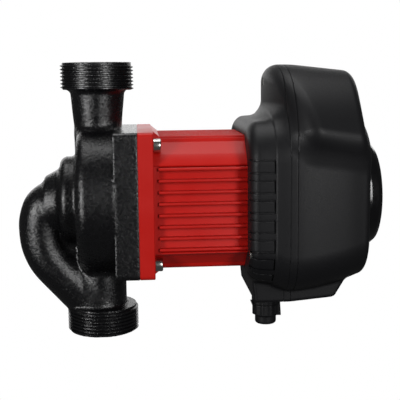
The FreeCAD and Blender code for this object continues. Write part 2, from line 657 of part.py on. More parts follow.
def drum_form(label, wall):
    """Rounded rectangles lofted along the motor axis, and the block that holds the cable gland."""
    body = new_body(label)
    stations = [
        (dim.drum_left + wall, dim.ring_rear_half, dim.ring_bottom + 2, dim.ring_top - 2, dim.drum_corner),
        (dim.ring_shoulder, dim.ring_half, dim.ring_bottom, dim.ring_top, dim.drum_corner),
        (dim.seam_left, dim.drum_half, dim.drum_bottom, dim.drum_top, dim.drum_corner),
        (dim.seam_right, dim.drum_half, dim.drum_bottom, dim.drum_top, dim.drum_corner),
        (dim.belly_right, dim.belly_half, dim.belly_bottom, dim.drum_top, dim.drum_corner),
        (dim.brow_right, dim.brow_half, dim.brow_bottom, dim.ring_top, dim.drum_corner),
        (dim.face_right - wall, dim.face_half, dim.face_bottom, -dim.face_bottom, dim.face_corner)]
    sections = []
    for i, (place, half, low, high, corner) in enumerate(stations):
        section = new_sketch(body, f"{label}_section_{i}", "YZ_Plane", place)
        drum_section(section, half - wall, low + wall, high - wall, corner - wall)
        sections.append(section)
    loft = body.newObject("PartDesign::AdditiveLoft", label + "_loft")
    loft.Profile = sections[0]
    loft.Sections = sections[1:]
    loft.Ruled = True
    low = dim.block_bottom + wall
    sideways(body, label + "_block", dim.block_half - wall, lambda sketch: outline(sketch, [
        (dim.block_left_top + wall, dim.block_root), (dim.block_left + wall, low, 1.2),
        (dim.block_right - wall, low, 2.5), (dim.block_right_top - wall, dim.block_shoulder),
        (dim.block_right_top - wall, dim.block_root)]))
    return body


def head_form(label, wall):
    """The arched head: turned about an axis a little above the motor's, then cut off below its ears."""
    body = new_body(label)
    body.setExpression("Placement.Base.z", (axis_height + dim.head_lift).formula)
    face = dim.head_face - wall
    turned(body, label + "_arch", [
        (dim.head_left + wall, 0), (dim.head_left + wall, dim.head_radius - wall, dim.head_rear_bend),
        (dim.head_crown_right, dim.head_radius - wall),
        (dim.head_front - wall, dim.head_front_radius - wall, dim.head_front_bend),
        (face, dim.ear_height), (face, 0)])
    far = dim.head_radius * 1.5
    root = dim.head_root_height - dim.head_lift + wall
    ear = dim.ear_height - dim.head_lift + wall
    along_motor(body, label + "_underside", dim.head_left - 5, dim.head_face + 5,
                lambda sketch: rectangle(sketch, -far, -far, far, root), "Pocket")
    for name, side in (("near", -1), ("far", 1)):
        along_motor(body, f"{label}_{name}_ear", dim.head_left - 5, dim.head_face + 5,
                    lambda sketch: outline(sketch, [
                        ((dim.head_root_half - wall) * side, root - 1),
                        ((dim.head_root_half - wall) * side, root), ((dim.ear_half - wall) * side, ear),
                        ((dim.ear_half - wall) * side, far), (far * side, far),
                        (far * side, root - 1)]), "Pocket")
    return body


def slab(label, left, right):
    """A plain block, wider than the box, that cuts it between two places along the motor axis."""
    block = doc.addObject("Part::Box", label)
    wide = dim.port_span * 1.5
    block.setExpression("Length", (right - left).formula)
    block.setExpression("Width", wide.formula)
    block.setExpression("Height", wide.formula)
    block.setExpression("Placement.Base.x", left.formula)
    block.setExpression("Placement.Base.y", (wide / -2).formula)
    block.setExpression("Placement.Base.z", (axis_height - wide / 2).formula)
    return block


def screw_places():
    """Cover screws: two beside the motor and one high in the head, with the face each is let into."""
    out, down, up = dim.lower_boss_out, dim.lower_boss_down, dim.upper_boss_up
    return [(out, down, dim.drum_left), (-out, down, dim.drum_left), (size(0), up, dim.head_left)]


def tubes(label, left, right, radius, places):
    body = new_body(label)
    for i, (across, along, _) in enumerate(places):
        along_motor(body, f"{label}_{i}", left, right,
                    lambda sketch: circle(sketch, across, along, radius))
    return body


def make_box():
    form = box_form("box_form", 0)
    room = box_form("box_room", dim.box_wall)
    shell = boolean("Cut", "box_shell", form, room)
    make_rear_shell(form, shell)
    keep(boolean("Common", "box_seal", shell, slab("seal_slab", dim.seam_left, dim.seam_right)))
    make_front_cover(form, shell)


def make_rear_shell(form, shell):
    skin = boolean("Common", "rear_skin", shell, slab("rear_slab", dim.drum_left - 5, dim.seam_left))
    inside = new_body("rear_inside")
    along_motor(inside, "mount_wall", dim.motor_right, dim.motor_right + dim.mount_wall,
                lambda sketch: drum_section(sketch, dim.drum_half, dim.drum_bottom, dim.drum_top,
                                            dim.drum_corner))
    screw_bosses = screw_places()
    for i, (across, along, face) in enumerate(screw_bosses):
        along_motor(inside, f"rear_boss_{i}", face, dim.seam_left,
                    lambda sketch: circle(sketch, across, along, dim.boss_tube_radius))
    for i, (across, along) in enumerate(board_screw_places()):
        along_motor(inside, f"standoff_{i}", dim.motor_right + 1, dim.board_left,
                    lambda sketch: circle(sketch, across, along, dim.standoff_radius))
    fitted = boolean("Common", "rear_inside_trimmed", inside, form)
    blank = boolean("Fuse", "rear_blank", skin, fitted)
    cuts = new_body("rear_cuts")
    along_motor(cuts, "motor_hole", dim.drum_left - 5, dim.motor_right,
                lambda sketch: outline(sketch, motor_section(dim.motor_gap, dim.fin_side, dim.fin_top)))
    along_motor(cuts, "wall_opening", dim.drum_left, dim.motor_right + dim.mount_wall + 1,
                lambda sketch: circle(sketch, 0, 0, dim.mount_opening))
    for i, (across, along, face) in enumerate(screw_bosses):
        along_motor(cuts, f"screw_way_{i}", face - 1, dim.seam_left + 1,
                    lambda sketch: circle(sketch, across, along, dim.cover_screw_hole))
        along_motor(cuts, f"head_way_{i}", face - 5, face + dim.cover_head,
                    lambda sketch: circle(sketch, across, along, dim.cover_head_radius))
    up_pipe(cuts, "gland_way", dim.block_bottom - 5, dim.block_root,
            lambda sketch: circle(sketch, dim.gland_x, 0, dim.gland_hole))
    keep(boolean("Cut", "box_rear_shell", blank, cuts))


def make_front_cover(form, shell):
    skin = boolean("Common", "front_skin", shell, slab("front_slab", dim.seam_right, dim.face_right + 5))
    bosses = tubes("front_bosses", dim.seam_right, dim.face_right, dim.boss_tube_radius, screw_places())
    fitted = boolean("Common", "front_bosses_trimmed", bosses, form)
    blank = boolean("Fuse", "front_blank", skin, fitted)
    cuts = tubes("front_cuts", dim.seam_right - 1, dim.cover_screw_end + 2, dim.cover_screw_radius, screw_places())
    along_motor(cuts, "face_hole", dim.brow_right, dim.face_right + 5,
                lambda sketch: circle(sketch, 0, 0, dim.face_opening))
    keep(boolean("Cut", "box_front_cover", blank, cuts))


def make_cover_screws():
    body = keep(new_body("cover_screws"))
    for i, (across, along, face) in enumerate(screw_places()):
        seat = face + dim.cover_head
        along_motor(body, f"cover_shank_{i}", seat, dim.cover_screw_end,
                    lambda sketch: circle(sketch, across, along, dim.cover_screw_radius))
        along_motor(body, f"cover_head_{i}", seat - dim.cover_head * 0.9, seat,
                    lambda sketch: circle(sketch, across, along, dim.cover_head_radius - 0.2))


# ---------------------------------------------------------------- electronics

def board_screw_places():
    out = dim.standoff_out
    return [(out, dim.standoff_down), (-out, dim.standoff_down), (out, dim.standoff_up),
            (-out, dim.standoff_up)]


def make_electronics():
    ring("heat_spreader", dim.motor_right, dim.spreader_right, 0, dim.spreader_radius)
    board_right = dim.board_left + dim.board
    height = dim.board_top - dim.board_bottom
    box_at("control_board", dim.board_left, board_right, 0, dim.board_bottom, dim.board_half * 2, height)
    pair = keep(new_body("capacitors"))
    for name, across in (("left", -dim.capacitor_out), ("right", dim.capacitor_out)):
        along_motor(pair, name + "_can", board_right, board_right + dim.capacitor_length,
                    lambda sketch: circle(sketch, across, dim.capacitor_up, dim.capacitor_radius))
    choke = keep(doc.addObject("Part::Torus", "choke"))
    choke.setExpression("Radius1", dim.choke_ring.formula)
    choke.setExpression("Radius2", dim.choke_wire.formula)
    choke.Placement.Rotation = FreeCAD.Rotation(V(0, 1, 0), 90)
    choke.setExpression("Placement.Base.x", (board_right + dim.choke_wire).formula)
    choke.setExpression("Placement.Base.y", dim.choke_out.formula)
    choke.setExpression("Placement.Base.z", (axis_height + dim.choke_up).formula)
    box_at("relay", board_right, board_right + dim.relay_depth, dim.relay_out + dim.relay_width / 2,
           dim.relay_up, dim.relay_width, dim.relay_height)
    box_at("power_module", board_right, board_right + dim.module_depth, 0, -dim.module_height / 2,
           dim.module_width, dim.module_height)
    box_at("terminal_block", board_right, board_right + dim.terminal_depth, 0, dim.terminal_up,
           dim.terminal_width, dim.terminal_height)
    box_at("motor_plug", dim.spreader_right, dim.board_left, 0, dim.plug_up - dim.plug_height / 2,
           dim.plug_width, dim.plug_height)


def key_places():
    """Three push keys under the display."""
    return [("left_key", -dim.key_out, dim.key_up), ("middle_key", size(0), dim.key_middle_up),
            ("right_key", dim.key_out, dim.key_up)]


def make_display():
    ring("display_bezel", dim.face_right, dim.bezel_right, dim.bezel_inner, dim.bezel_outer)
    panel = keep(new_body("control_panel"))
    skin_left = dim.panel_right - dim.panel_skin
    turned(panel, "panel_disc", ring_corners(skin_left, dim.panel_right, 0, dim.bezel_inner))
    posts = [(-dim.post_out, dim.post_up), (dim.post_out, dim.post_up)]
    for i, (across, along) in enumerate(posts):
        along_motor(panel, f"post_{i}", dim.display_board_left + dim.board, skin_left + 0.5,
                    lambda sketch: circle(sketch, across, along, dim.post_radius))
    half = dim.lens_width / 2
    low = dim.lens_up - dim.lens_height / 2
    high = dim.lens_up + dim.lens_height / 2
    along_motor(panel, "lens_opening", skin_left, dim.panel_right,
                lambda sketch: rectangle(sketch, -half, low, half, high), "Pocket")
    for name, across, along in key_places():
        along_motor(panel, name + "_hole", skin_left, dim.panel_right,
                    lambda sketch: circle(sketch, across, along, dim.key_radius + dim.key_gap), "Pocket")
    box_at("display_lens", skin_left, dim.panel_right, 0, low, dim.lens_width, dim.lens_height)
    board_right = dim.display_board_left + dim.board
    ring("display_board", dim.display_board_left, board_right, 0, dim.display_board_radius)
    box_at("digit_display", board_right, dim.digit_right, 0, dim.lens_up - dim.digit_height / 2,
           dim.digit_width, dim.digit_height)
    switches = keep(new_body("key_switches"))
    half = dim.switch_width / 2
    for name, across, along in key_places():
        along_motor(switches, name + "_switch", board_right, dim.switch_right,
                    lambda sketch: rectangle(sketch, across - half, along - half,
                                             across + half, along + half))
        key = keep(new_body(name))
        along_motor(key, name + "_stem", dim.key_left, dim.key_right,
                    lambda sketch: circle(sketch, across, along, dim.key_radius))
        along_motor(key, name + "_flange", dim.key_flange_left, dim.key_flange_right,
                    lambda sketch: circle(sketch, across, along, dim.key_flange))


# ---------------------------------------------------------------- cable gland

def make_gland():
    body = keep(new_body("gland_body"))
    middle = dim.gland_x
    bottom = dim.block_bottom
    up_pipe(body, "gland_hexagon", dim.gland_hex_bottom, bottom,
            lambda sketch: outline(sketch, hexagon(middle, size(0), dim.gland_hex_across)))
    up_pipe(body, "gland_thread", bottom, dim.gland_inside_top,
            lambda sketch: circle(sketch, middle, 0, dim.gland_thread))
    up_pipe(body, "gland_bore", dim.gland_hex_bottom, dim.gland_inside_top,
            lambda sketch: circle(sketch, middle, 0, dim.gland_bore), "Pocket")
    locknut = keep(new_body("gland_locknut"))
    up_pipe(locknut, "locknut_hexagon", bottom + dim.box_wall, dim.locknut_top,
            lambda sketch: outline(sketch, hexagon(middle, size(0), dim.locknut_radius)))
    up_pipe(locknut, "locknut_hole", bottom + dim.box_wall, dim.locknut_top,
            lambda sketch: circle(sketch, middle, 0, dim.gland_thread), "Pocket")
    nut = keep(new_body("gland_nut"))
    low, high = dim.gland_nut_bottom, dim.gland_hex_bottom
    turned_about_gland(nut, "gland_nut_profile", [
        (dim.gland_bore, high), (dim.gland_nut_radius, high), (dim.gland_nut_radius, low + 4),
        (dim.gland_nut_end, low), (dim.gland_seal_bore, low), (dim.gland_seal_bore, low + 1.5),
        (dim.gland_bore, low + 1.5)])
    seal = keep(new_body("gland_seal"))
    turned_about_gland(seal, "gland_seal_profile", [
        (dim.gland_seal_bore, low + 1.5), (dim.gland_bore, low + 1.5), (dim.gland_bore, high + 4),
        (dim.gland_seal_bore, high + 4)])


def turned_about_gland(body, name, corners):
    """A profile turned about the gland's own upright axis, which the body is moved to."""
    body.setExpression("Placement.Base.x", dim.gland_x.formula)
    turned(body, name, corners, about="V_Axis")


# ---------------------------------------------------------------- build, check and write

make_pump_housing()
make_impeller()
make_impeller_nut()
make_rotor()
make_bearing_side()
make_rotor_can()
make_stator()
make_stator_housing()
make_flange_screws()
make_box()
make_cover_screws()
make_electronics()
make_display()
make_gland()
doc.recompute()

faults = [f"{item.Label}: {item.State}" for item in doc.Objects
          if "Invalid" in item.State or "Error" in item.State]
for part in sub_parts:
    if part.Shape.isNull() or not part.Shape.isValid():
        faults.append(f"{part.Label}: shape is null or not valid")
if faults:
    raise SystemExit("\n".join(faults))

os.makedirs("parts", exist_ok=True)
for part in sub_parts:
    part.Shape.exportStep(f"parts/{part.Label}.step")
    print(f"{part.Label:18s} solids {len(part.Shape.Solids)}  volume {part.Shape.Volume / 1000:.1f} cm3")
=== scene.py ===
import json
import math

import bmesh
import bpy
import numpy as np
from mathutils import Matrix, Vector


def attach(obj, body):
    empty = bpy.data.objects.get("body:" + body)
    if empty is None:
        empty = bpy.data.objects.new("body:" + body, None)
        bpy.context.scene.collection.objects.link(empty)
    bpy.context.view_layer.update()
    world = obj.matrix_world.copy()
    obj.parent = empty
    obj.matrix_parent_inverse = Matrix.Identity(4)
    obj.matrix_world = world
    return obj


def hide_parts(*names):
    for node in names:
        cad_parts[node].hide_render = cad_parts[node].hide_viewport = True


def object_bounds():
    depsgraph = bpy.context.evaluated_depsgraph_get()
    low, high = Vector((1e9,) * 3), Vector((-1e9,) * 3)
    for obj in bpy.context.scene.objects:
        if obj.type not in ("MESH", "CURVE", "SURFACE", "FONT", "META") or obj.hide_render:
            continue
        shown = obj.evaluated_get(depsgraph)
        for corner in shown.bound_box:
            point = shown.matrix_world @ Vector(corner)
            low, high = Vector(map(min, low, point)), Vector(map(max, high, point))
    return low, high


# An in-line circulator pump. Z is the pipe axis and X the motor axis, which crosses it half way up.
# Shapes are drawn in millimetres about the point where the two axes cross, then moved into the
# row frame.

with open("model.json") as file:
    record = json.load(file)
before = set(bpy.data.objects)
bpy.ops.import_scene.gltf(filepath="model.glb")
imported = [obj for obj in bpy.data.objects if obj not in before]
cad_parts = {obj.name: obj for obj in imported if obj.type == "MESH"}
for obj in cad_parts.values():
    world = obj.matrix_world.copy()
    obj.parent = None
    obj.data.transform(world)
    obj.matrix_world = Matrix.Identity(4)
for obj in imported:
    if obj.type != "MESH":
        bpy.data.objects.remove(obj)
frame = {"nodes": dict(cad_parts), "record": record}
cad_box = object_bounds()
nodes = frame["nodes"]
AXIS_HEIGHT = 90.0
MM = 0.001


# ---------------------------------------------------------------- distance fields

FAR = 1e9


def corner(a, b):
    """Distance to where two walls meet at a square outside corner."""
    return np.minimum(np.maximum(a, b), 0) + np.hypot(np.maximum(a, 0), np.maximum(b, 0))


def trim(a, b, bend):
    """What is inside both shapes, with their shared edge rounded."""
    past = np.hypot(np.maximum(a + bend, 0), np.maximum(b + bend, 0))
    return np.minimum(np.maximum(a, b), -bend) + past


def blend(a, b, fillet):
    """Both shapes together, with a fillet where they meet."""
    near = np.hypot(np.maximum(fillet - a, 0), np.maximum(fillet - b, 0))
    return np.maximum(np.minimum(a, b), fillet) - near


def span(a, low, high):
    """Distance to a slab between two places."""
    return np.abs(a - (low + high) / 2) - (high - low) / 2


def plate(a, b, half_a, half_b, bend):
    """A rectangle with rounded corners."""
    return corner(np.abs(a) - half_a + bend, np.abs(b) - half_b + bend) - bend


def drum(along, out, low, high, radius, low_bend, high_bend):
    """A cylinder between two places on its axis, with its own bend at each end."""
    return trim(trim(out - radius, low - along, low_bend), along - high, high_bend)


def polygon(a, b, corners):
    """A flat outline with straight sides."""
    best = np.full(np.broadcast(a, b).shape, FAR, np.float32)
    inside = np.zeros(best.shape, bool)
    for (a0, b0), (a1, b1) in zip(corners, corners[1:] + corners[:1]):
        run, rise = a1 - a0, b1 - b0
        t = np.clip(((a - a0) * run + (b - b0) * rise) / (run * run + rise * rise), 0, 1)
        best = np.minimum(best, (a - a0 - t * run) ** 2 + (b - b0 - t * rise) ** 2)
        if rise:
            inside ^= ((b0 > b) != (b1 > b)) & (a < run * (b - b0) / rise + a0)
    return np.where(inside, -1, 1) * np.sqrt(best)


def rod(a, b, start, end):
    """Distance in a plane to a straight run."""
    run, rise = end[0] - start[0], end[1] - start[1]
    t = np.clip(((a - start[0]) * run + (b - start[1]) * rise) / (run * run + rise * rise), 0, 1)
    return np.hypot(a - start[0] - t * run, b - start[1] - t * rise)


def bend_line(a, b, centre, radius, first, last):
    """Distance in a plane to an arc between two angles."""
    middle = math.radians((first + last) / 2)
    reach = math.radians((last - first) / 2)
    da, db = a - centre[0], b - centre[1]
    along = da * math.cos(middle) + db * math.sin(middle)
    across = np.abs(db * math.cos(middle) - da * math.sin(middle))
    off_end = np.hypot(along - radius * math.cos(reach), across - radius * math.sin(reach))
    return np.where(np.arctan2(across, along) < reach, np.abs(np.hypot(da, db) - radius), off_end)


# ---------------------------------------------------------------- meshes

GRID_MARGIN = 1.37  # steps kept clear before a shape, which keeps its flats off the grid's points
HALVINGS = 4  # times a crossing of the surface is closed in on
PROBE = 0.08  # share of a step over which the surface's tilt is measured
STEADINESS = 0.06  # how firmly a point is held to the middle of its crossings
MAX_SHIFT = 0.7  # steps that a point may move from that middle
TINY = 1e-12
SAME_PLACE = 1e-7  # metres within which two points are one


def mesh_object(name, points, faces, finish):
    """An object at the origin from points in the drawing's millimetres."""
    mesh = bpy.data.meshes.new(name)
    placed = (np.asarray(points, float) + (0, 0, AXIS_HEIGHT)) * MM
    if isinstance(faces, np.ndarray):
        faces = faces.tolist()
    mesh.from_pydata(placed.tolist(), [], faces)
    mesh.update()
    obj = bpy.data.objects.new(name, mesh)
    bpy.context.scene.collection.objects.link(obj)
    mesh.materials.append(finish)
    return obj


def contour(name, field, low, high, step, finish, sharp=38):
    """The surface where a field is nought, as quads whose points sit in its creases."""
    axes = [np.arange(a - step * GRID_MARGIN, b + step * 2, step, np.float32)
            for a, b in zip(low, high)]
    size = [len(a) for a in axes]
    values = field(*np.meshgrid(*axes, indexing="ij", sparse=True)).astype(np.float32)
    values = np.broadcast_to(values, size)
    inside = values < 0
    strides = np.array([size[1] * size[2], size[2], 1])
    hits, tilts, cells, quads = [], [], [], []
    for axis in range(3):
        first = [slice(None)] * 3
        second = [slice(None)] * 3
        first[axis], second[axis] = slice(None, -1), slice(1, None)
        at = np.argwhere(inside[tuple(first)] != inside[tuple(second)])
        ahead = at.copy()
        ahead[:, axis] += 1
        value0, value1 = values[tuple(at.T)], values[tuple(ahead.T)]
        t = value0 / (value0 - value1)
        base = np.stack([axes[k][at[:, k]] for k in range(3)], 1)
        low_t, high_t = np.zeros_like(t), np.ones_like(t)
        low_inside = value0 < 0
        for _ in range(HALVINGS):
            place = base.copy()
            place[:, axis] += t * step
            value = field(*place.T)
            same = (value < 0) == low_inside
            low_t, high_t = np.where(same, t, low_t), np.where(same, high_t, t)
            value0, value1 = np.where(same, value, value0), np.where(same, value1, value)
            share = np.clip(value0 / (value0 - value1 + TINY), 0.05, 0.95)
            t = low_t + (high_t - low_t) * share
        place = base.copy()
        place[:, axis] += t * step
        small = step * PROBE
        tilt = np.stack([field(*(place + small * unit).T) - field(*(place - small * unit).T)
                         for unit in np.eye(3, dtype=np.float32)], 1)
        tilt /= np.linalg.norm(tilt, axis=1, keepdims=True) + TINY
        b, c = (axis + 1) % 3, (axis + 2) % 3
        corners = []
        for back_b, back_c in ((0, 0), (1, 0), (1, 1), (0, 1)):
            cell = at.copy()
            cell[:, b] -= back_b
            cell[:, c] -= back_c
            corners.append(cell @ strides)
        quad = np.stack(corners, 1)
        quad[~low_inside] = quad[~low_inside][:, ::-1]
        quads.append(quad)
        for column in corners:
            cells.append(column)
            hits.append(place)
            tilts.append(tilt)
    cells, hits, tilts = np.concatenate(cells), np.concatenate(hits), np.concatenate(tilts)
    used, index = np.unique(cells, return_inverse=True)
    count = np.bincount(index).astype(float)
    middle = np.stack([np.bincount(index, hits[:, k]) for k in range(3)], 1) / count[:, None]
    away = np.einsum("ij,ij->i", tilts, hits - middle[index])
    pull = np.stack([np.bincount(index, tilts[:, k] * away) for k in range(3)], 1)
    stiffness = np.zeros((len(used), 3, 3))
    for j in range(3):
        for k in range(3):
            stiffness[:, j, k] = np.bincount(index, tilts[:, j] * tilts[:, k])
    stiffness += np.eye(3) * STEADINESS * count[:, None, None]
    shift = np.linalg.solve(stiffness, pull[..., None])[..., 0]
    points = middle + np.clip(shift, -step * MAX_SHIFT, step * MAX_SHIFT)
    faces = np.searchsorted(used, np.concatenate(quads))
    obj = mesh_object(name, points, faces, finish)
    shade(obj, sharp)
    return obj


def shade(obj, sharp=38):
    """Smooth shading that keeps edges sharper than the given angle."""
    mesh = obj.data
    mesh.polygons.foreach_set("use_smooth", [True] * len(mesh.polygons))
    mesh.set_sharp_from_angle(angle=math.radians(sharp))
    return obj


def settle(obj):
    """Turns an object's modifiers into plain mesh and takes them off."""
    bpy.context.view_layer.update()
    evaluated = obj.evaluated_get(bpy.context.evaluated_depsgraph_get())
    mesh = bpy.data.meshes.new_from_object(evaluated)
    obj.modifiers.clear()
    obj.data = mesh
    return obj


def join(name, parts):
    """Several objects as one."""
    build = bmesh.new()
    materials = []
    for part in parts:
        start = len(build.faces)
        build.from_mesh(part.data)
        build.faces.ensure_lookup_table()
        for face in build.faces[start:]:
            own = part.data.materials[face.material_index]
            if own not in materials:
                materials.append(own)
            face.material_index = materials.index(own)
    mesh = bpy.data.meshes.new(name)
    for material in materials:
        mesh.materials.append(material)
    build.to_mesh(mesh)
    build.free()
    for part in parts:
        bpy.data.objects.remove(part)
    obj = bpy.data.objects.new(name, mesh)
    bpy.context.scene.collection.objects.link(obj)
    return obj


ROOM_SHARE = 0.48  # how much of a side a rounded corner may use up
NEARLY_STRAIGHT = 1.54  # half angle in radians past which a corner is left as it is


def soften(corners, radius, steps=4):
    """An outline whose corners are rounded; a third number in a corner is its own radius."""
    result = []
    points = [np.array(c[:2], float) for c in corners]
    for i, here in enumerate(points):
        bend = corners[i][2] if len(corners[i]) == 3 else radius
        back, ahead = points[i - 1] - here, points[(i + 1) % len(points)] - here
        room = min(np.linalg.norm(back), np.linalg.norm(ahead)) * ROOM_SHARE
        back, ahead = back / np.linalg.norm(back), ahead / np.linalg.norm(ahead)
        half = math.acos(np.clip(back @ ahead, -1, 1)) / 2
        if bend <= 0 or half > NEARLY_STRAIGHT:
            result.append(here)
            continue
        bend = min(bend, room * math.tan(half))
        reach = bend / math.tan(half)
        middle = here + (back + ahead) / np.linalg.norm(back + ahead) * bend / math.sin(half)
        start, end = here + back * reach - middle, here + ahead * reach - middle
        turn = math.atan2(start[0] * end[1] - start[1] * end[0], start @ end)
        for k in range(steps + 1):
            a = turn * k / steps
            result.append(middle + (start[0] * math.cos(a) - start[1] * math.sin(a),
                                    start[0] * math.sin(a) + start[1] * math.cos(a)))
    return np.array(result)


def rings(loops, closed_ends=False, joined_ends=False):
    """Points and faces of equal loops joined one to the next."""
    count = len(loops[0])
    points = np.concatenate(loops)
    faces = []
    last = len(loops) if joined_ends else len(loops) - 1
    for i in range(last):
        j = (i + 1) % len(loops)
        for k in range(count):
            n = (k + 1) % count
            faces.append([i * count + k, i * count + n, j * count + n, j * count + k])
    if closed_ends:
        faces.append(list(range(count))[::-1])
        faces.append([(len(loops) - 1) * count + k for k in range(count)])
    return points, faces


def outward(obj):
    """Merges doubles and turns the faces outwards."""
    build = bmesh.new()
    build.from_mesh(obj.data)
    bmesh.ops.remove_doubles(build, verts=build.verts, dist=SAME_PLACE)
    bmesh.ops.recalc_face_normals(build, faces=build.faces)
    build.to_mesh(obj.data)
    build.free()
    return obj


def contained(obj):
    """Draws in the few points that a curved surface's mesh puts past the drawing's overall box."""
    points = np.empty(len(obj.data.vertices) * 3)
    obj.data.vertices.foreach_get("co", points)
    low, high = np.array(cad_box)
    obj.data.vertices.foreach_set("co", np.clip(points.reshape(-1, 3), low, high).ravel())
    return obj


def turned(name, profile, finish, segments, radius):
    """A closed profile of (along, out) turned about the motor axis."""
    along, out = soften(profile, radius).T
    loops = []
    for k in range(segments):
        a = 2 * math.pi * k / segments
        loops.append(np.stack([along, out * math.cos(a), out * math.sin(a)], 1))
    points, faces = rings(loops, joined_ends=True)
    return shade(outward(mesh_object(name, points, faces, finish)), 50)


def sleeve(name, section, left, right, bevel, bore, finish):
    """A tube along the motor axis with a shaped outside, bevelled ends and a round bore."""
    angles = np.arctan2(section[:, 1], section[:, 0])
    inner = np.stack([np.cos(angles), np.sin(angles)], 1) * bore
    reach = np.linalg.norm(section, axis=1, keepdims=True)
    drawn_in = section * (reach - bevel) / reach

    def loop(flat, x):
        return np.column_stack([np.full(len(flat), x), flat])

    loops = [loop(drawn_in, left), loop(section, left + bevel), loop(section, right - bevel),
             loop(drawn_in, right), loop(inner, right), loop(inner, left)]
    points, faces = rings(loops, joined_ends=True)
    return shade(outward(mesh_object(name, points, faces, finish)), 25)


def prism(name, outline, half_width, bevel, finish, middle=0.0):
    """A side-view outline of (x, z) carried to both sides, with bevelled edges."""
    centre = outline.mean(0)
    away = outline - centre
    reach = np.linalg.norm(away, axis=1, keepdims=True)
    drawn_in = centre + away * (reach - bevel) / reach

    def loop(flat, y):
        return np.column_stack([flat[:, 0], np.full(len(flat), y + middle), flat[:, 1]])

    loops = [loop(drawn_in, -half_width), loop(outline, -half_width + bevel),
             loop(outline, half_width - bevel), loop(drawn_in, half_width)]
    points, faces = rings(loops, closed_ends=True)
    return shade(outward(mesh_object(name, points, faces, finish)), 30)


# ---------------------------------------------------------------- nodes

def add(tree, kind, inputs=None, **settings):
    """Adds a node, sets it up, and gives its inputs values or links."""
    node = tree.nodes.new(kind)
    for name, value in settings.items():
        setattr(node, name, value)
    for name, value in (inputs or {}).items():
        socket = node.inputs[name]
        if isinstance(value, bpy.types.NodeSocket):
            tree.links.new(value, socket)
        else:
            socket.default_value = value
    return node


def linear(hex_colour):
    """An sRGB hex value as the linear colour that a shader takes."""
    parts = [int(hex_colour[i:i + 2], 16) / 255 for i in (1, 3, 5)]
    light = [p / 12.92 if p <= 0.04045 else ((p + 0.055) / 1.055) ** 2.4 for p in parts]
    return (*light, 1.0)


def per_mm(size):
    """The scale of a pattern on metres whose features are this many millimetres across."""
    return 1 / (size * MM)


def finish_tree(name):
    """A new material with an empty tree, and the place on the object that its patterns read."""
    material = bpy.data.materials.new(name)
    material.use_nodes = True
    tree = material.node_tree
    tree.nodes.clear()
    place = add(tree, "ShaderNodeTexCoord").outputs["Object"]
    return material, tree, place


def surface(tree, inputs):
    """Ends a material's tree in one shader."""
    shader = add(tree, "ShaderNodeBsdfPrincipled", inputs)
    add(tree, "ShaderNodeOutputMaterial", {"Surface": shader.outputs[0]})


def mixed(tree, share, first, second):
    """Two sRGB colours shared out by a pattern."""
    node = add(tree, "ShaderNodeMix", {"Factor": share}, data_type="RGBA")
    node.inputs[6].default_value = linear(first)
    node.inputs[7].default_value = linear(second)
    return node.outputs[2]


def spread(tree, value, low, high, to_low=0.0, to_high=1.0):
    """A pattern stretched from one range to another."""
    return add(tree, "ShaderNodeMapRange", {
        "Value": value, "From Min": low, "From Max": high,
        "To Min": to_low, "To Max": to_high}).outputs[0]


def noise(tree, place, size, detail=2.0, roughness=0.5):
    """A cloudy pattern whose features are a size in millimetres."""
    return add(tree, "ShaderNodeTexNoise", {
        "Vector": place, "Scale": per_mm(size), "Detail": detail,
        "Roughness": roughness}).outputs[0]


def relief(tree, height, strength, depth, below=None):
    """A pattern as bumps of a depth in millimetres, over other bumps where those are given."""
    inputs = {"Height": height, "Strength": strength, "Distance": depth * MM}
    if below is not None:
        inputs["Normal"] = below
    return add(tree, "ShaderNodeBump", inputs).outputs[0]


def cast_iron_paint():
    """Black alkyd gloss over a sand casting: the sand's grain shows through the paint and sparkles."""
    material, tree, place = finish_tree("gloss_paint_on_sand_cast_iron")
    grain = noise(tree, place, 1.3, 4.0, 0.65)
    pits = add(tree, "ShaderNodeTexVoronoi", {"Vector": place, "Scale": per_mm(2.0)},
               feature="SMOOTH_F1").outputs["Distance"]
    rough = relief(tree, pits, 0.5, 0.25)
    surface(tree, {"Base Color": mixed(tree, spread(tree, grain, 0.35, 0.7), "#060607", "#0F0F11"),
                   "Roughness": spread(tree, pits, 0.1, 0.6, 0.2, 0.3), "IOR": 1.5,
                   "Normal": relief(tree, grain, 0.65, 0.42, rough)})
    return material


def thread_paint():
    """The same black gloss over machined iron: smooth, with faint tool lines."""
    material, tree, place = finish_tree("gloss_paint_on_machined_iron")
    lines = noise(tree, place, 1.1)
    surface(tree, {"Base Color": mixed(tree, lines, "#070708", "#0F0F11"),
                   "Roughness": spread(tree, lines, 0.3, 0.7, 0.22, 0.34), "IOR": 1.5,
                   "Normal": relief(tree, lines, 0.25, 0.2)})
    return material


def red_paint():
    """Satin polyester powder coat over die-cast aluminium: even colour with a slight orange peel."""
    material, tree, place = finish_tree("powder_coat_on_die_cast_aluminium")
    peel = noise(tree, place, 1.3)
    cloud = noise(tree, place, 22)
    surface(tree, {"Base Color": mixed(tree, cloud, "#AE110B", "#B91912"),
                   "Roughness": spread(tree, cloud, 0.3, 0.7, 0.34, 0.42), "IOR": 1.38,
                   "Normal": relief(tree, peel, 0.12, 0.2)})
    return material


def moulded_black():
    """Glass-filled polyamide from a spark-eroded mould: charcoal, with a fine even grain."""
    material, tree, place = finish_tree("textured_black_polyamide")
    grain = noise(tree, place, 0.9)
    flow = noise(tree, place, 30, 1.0)
    surface(tree, {"Base Color": mixed(tree, flow, "#0D0D0F", "#121214"),
                   "Roughness": spread(tree, grain, 0.3, 0.7, 0.42, 0.56), "IOR": 1.33,
                   "Normal": relief(tree, grain, 0.3, 0.12)})
    return material


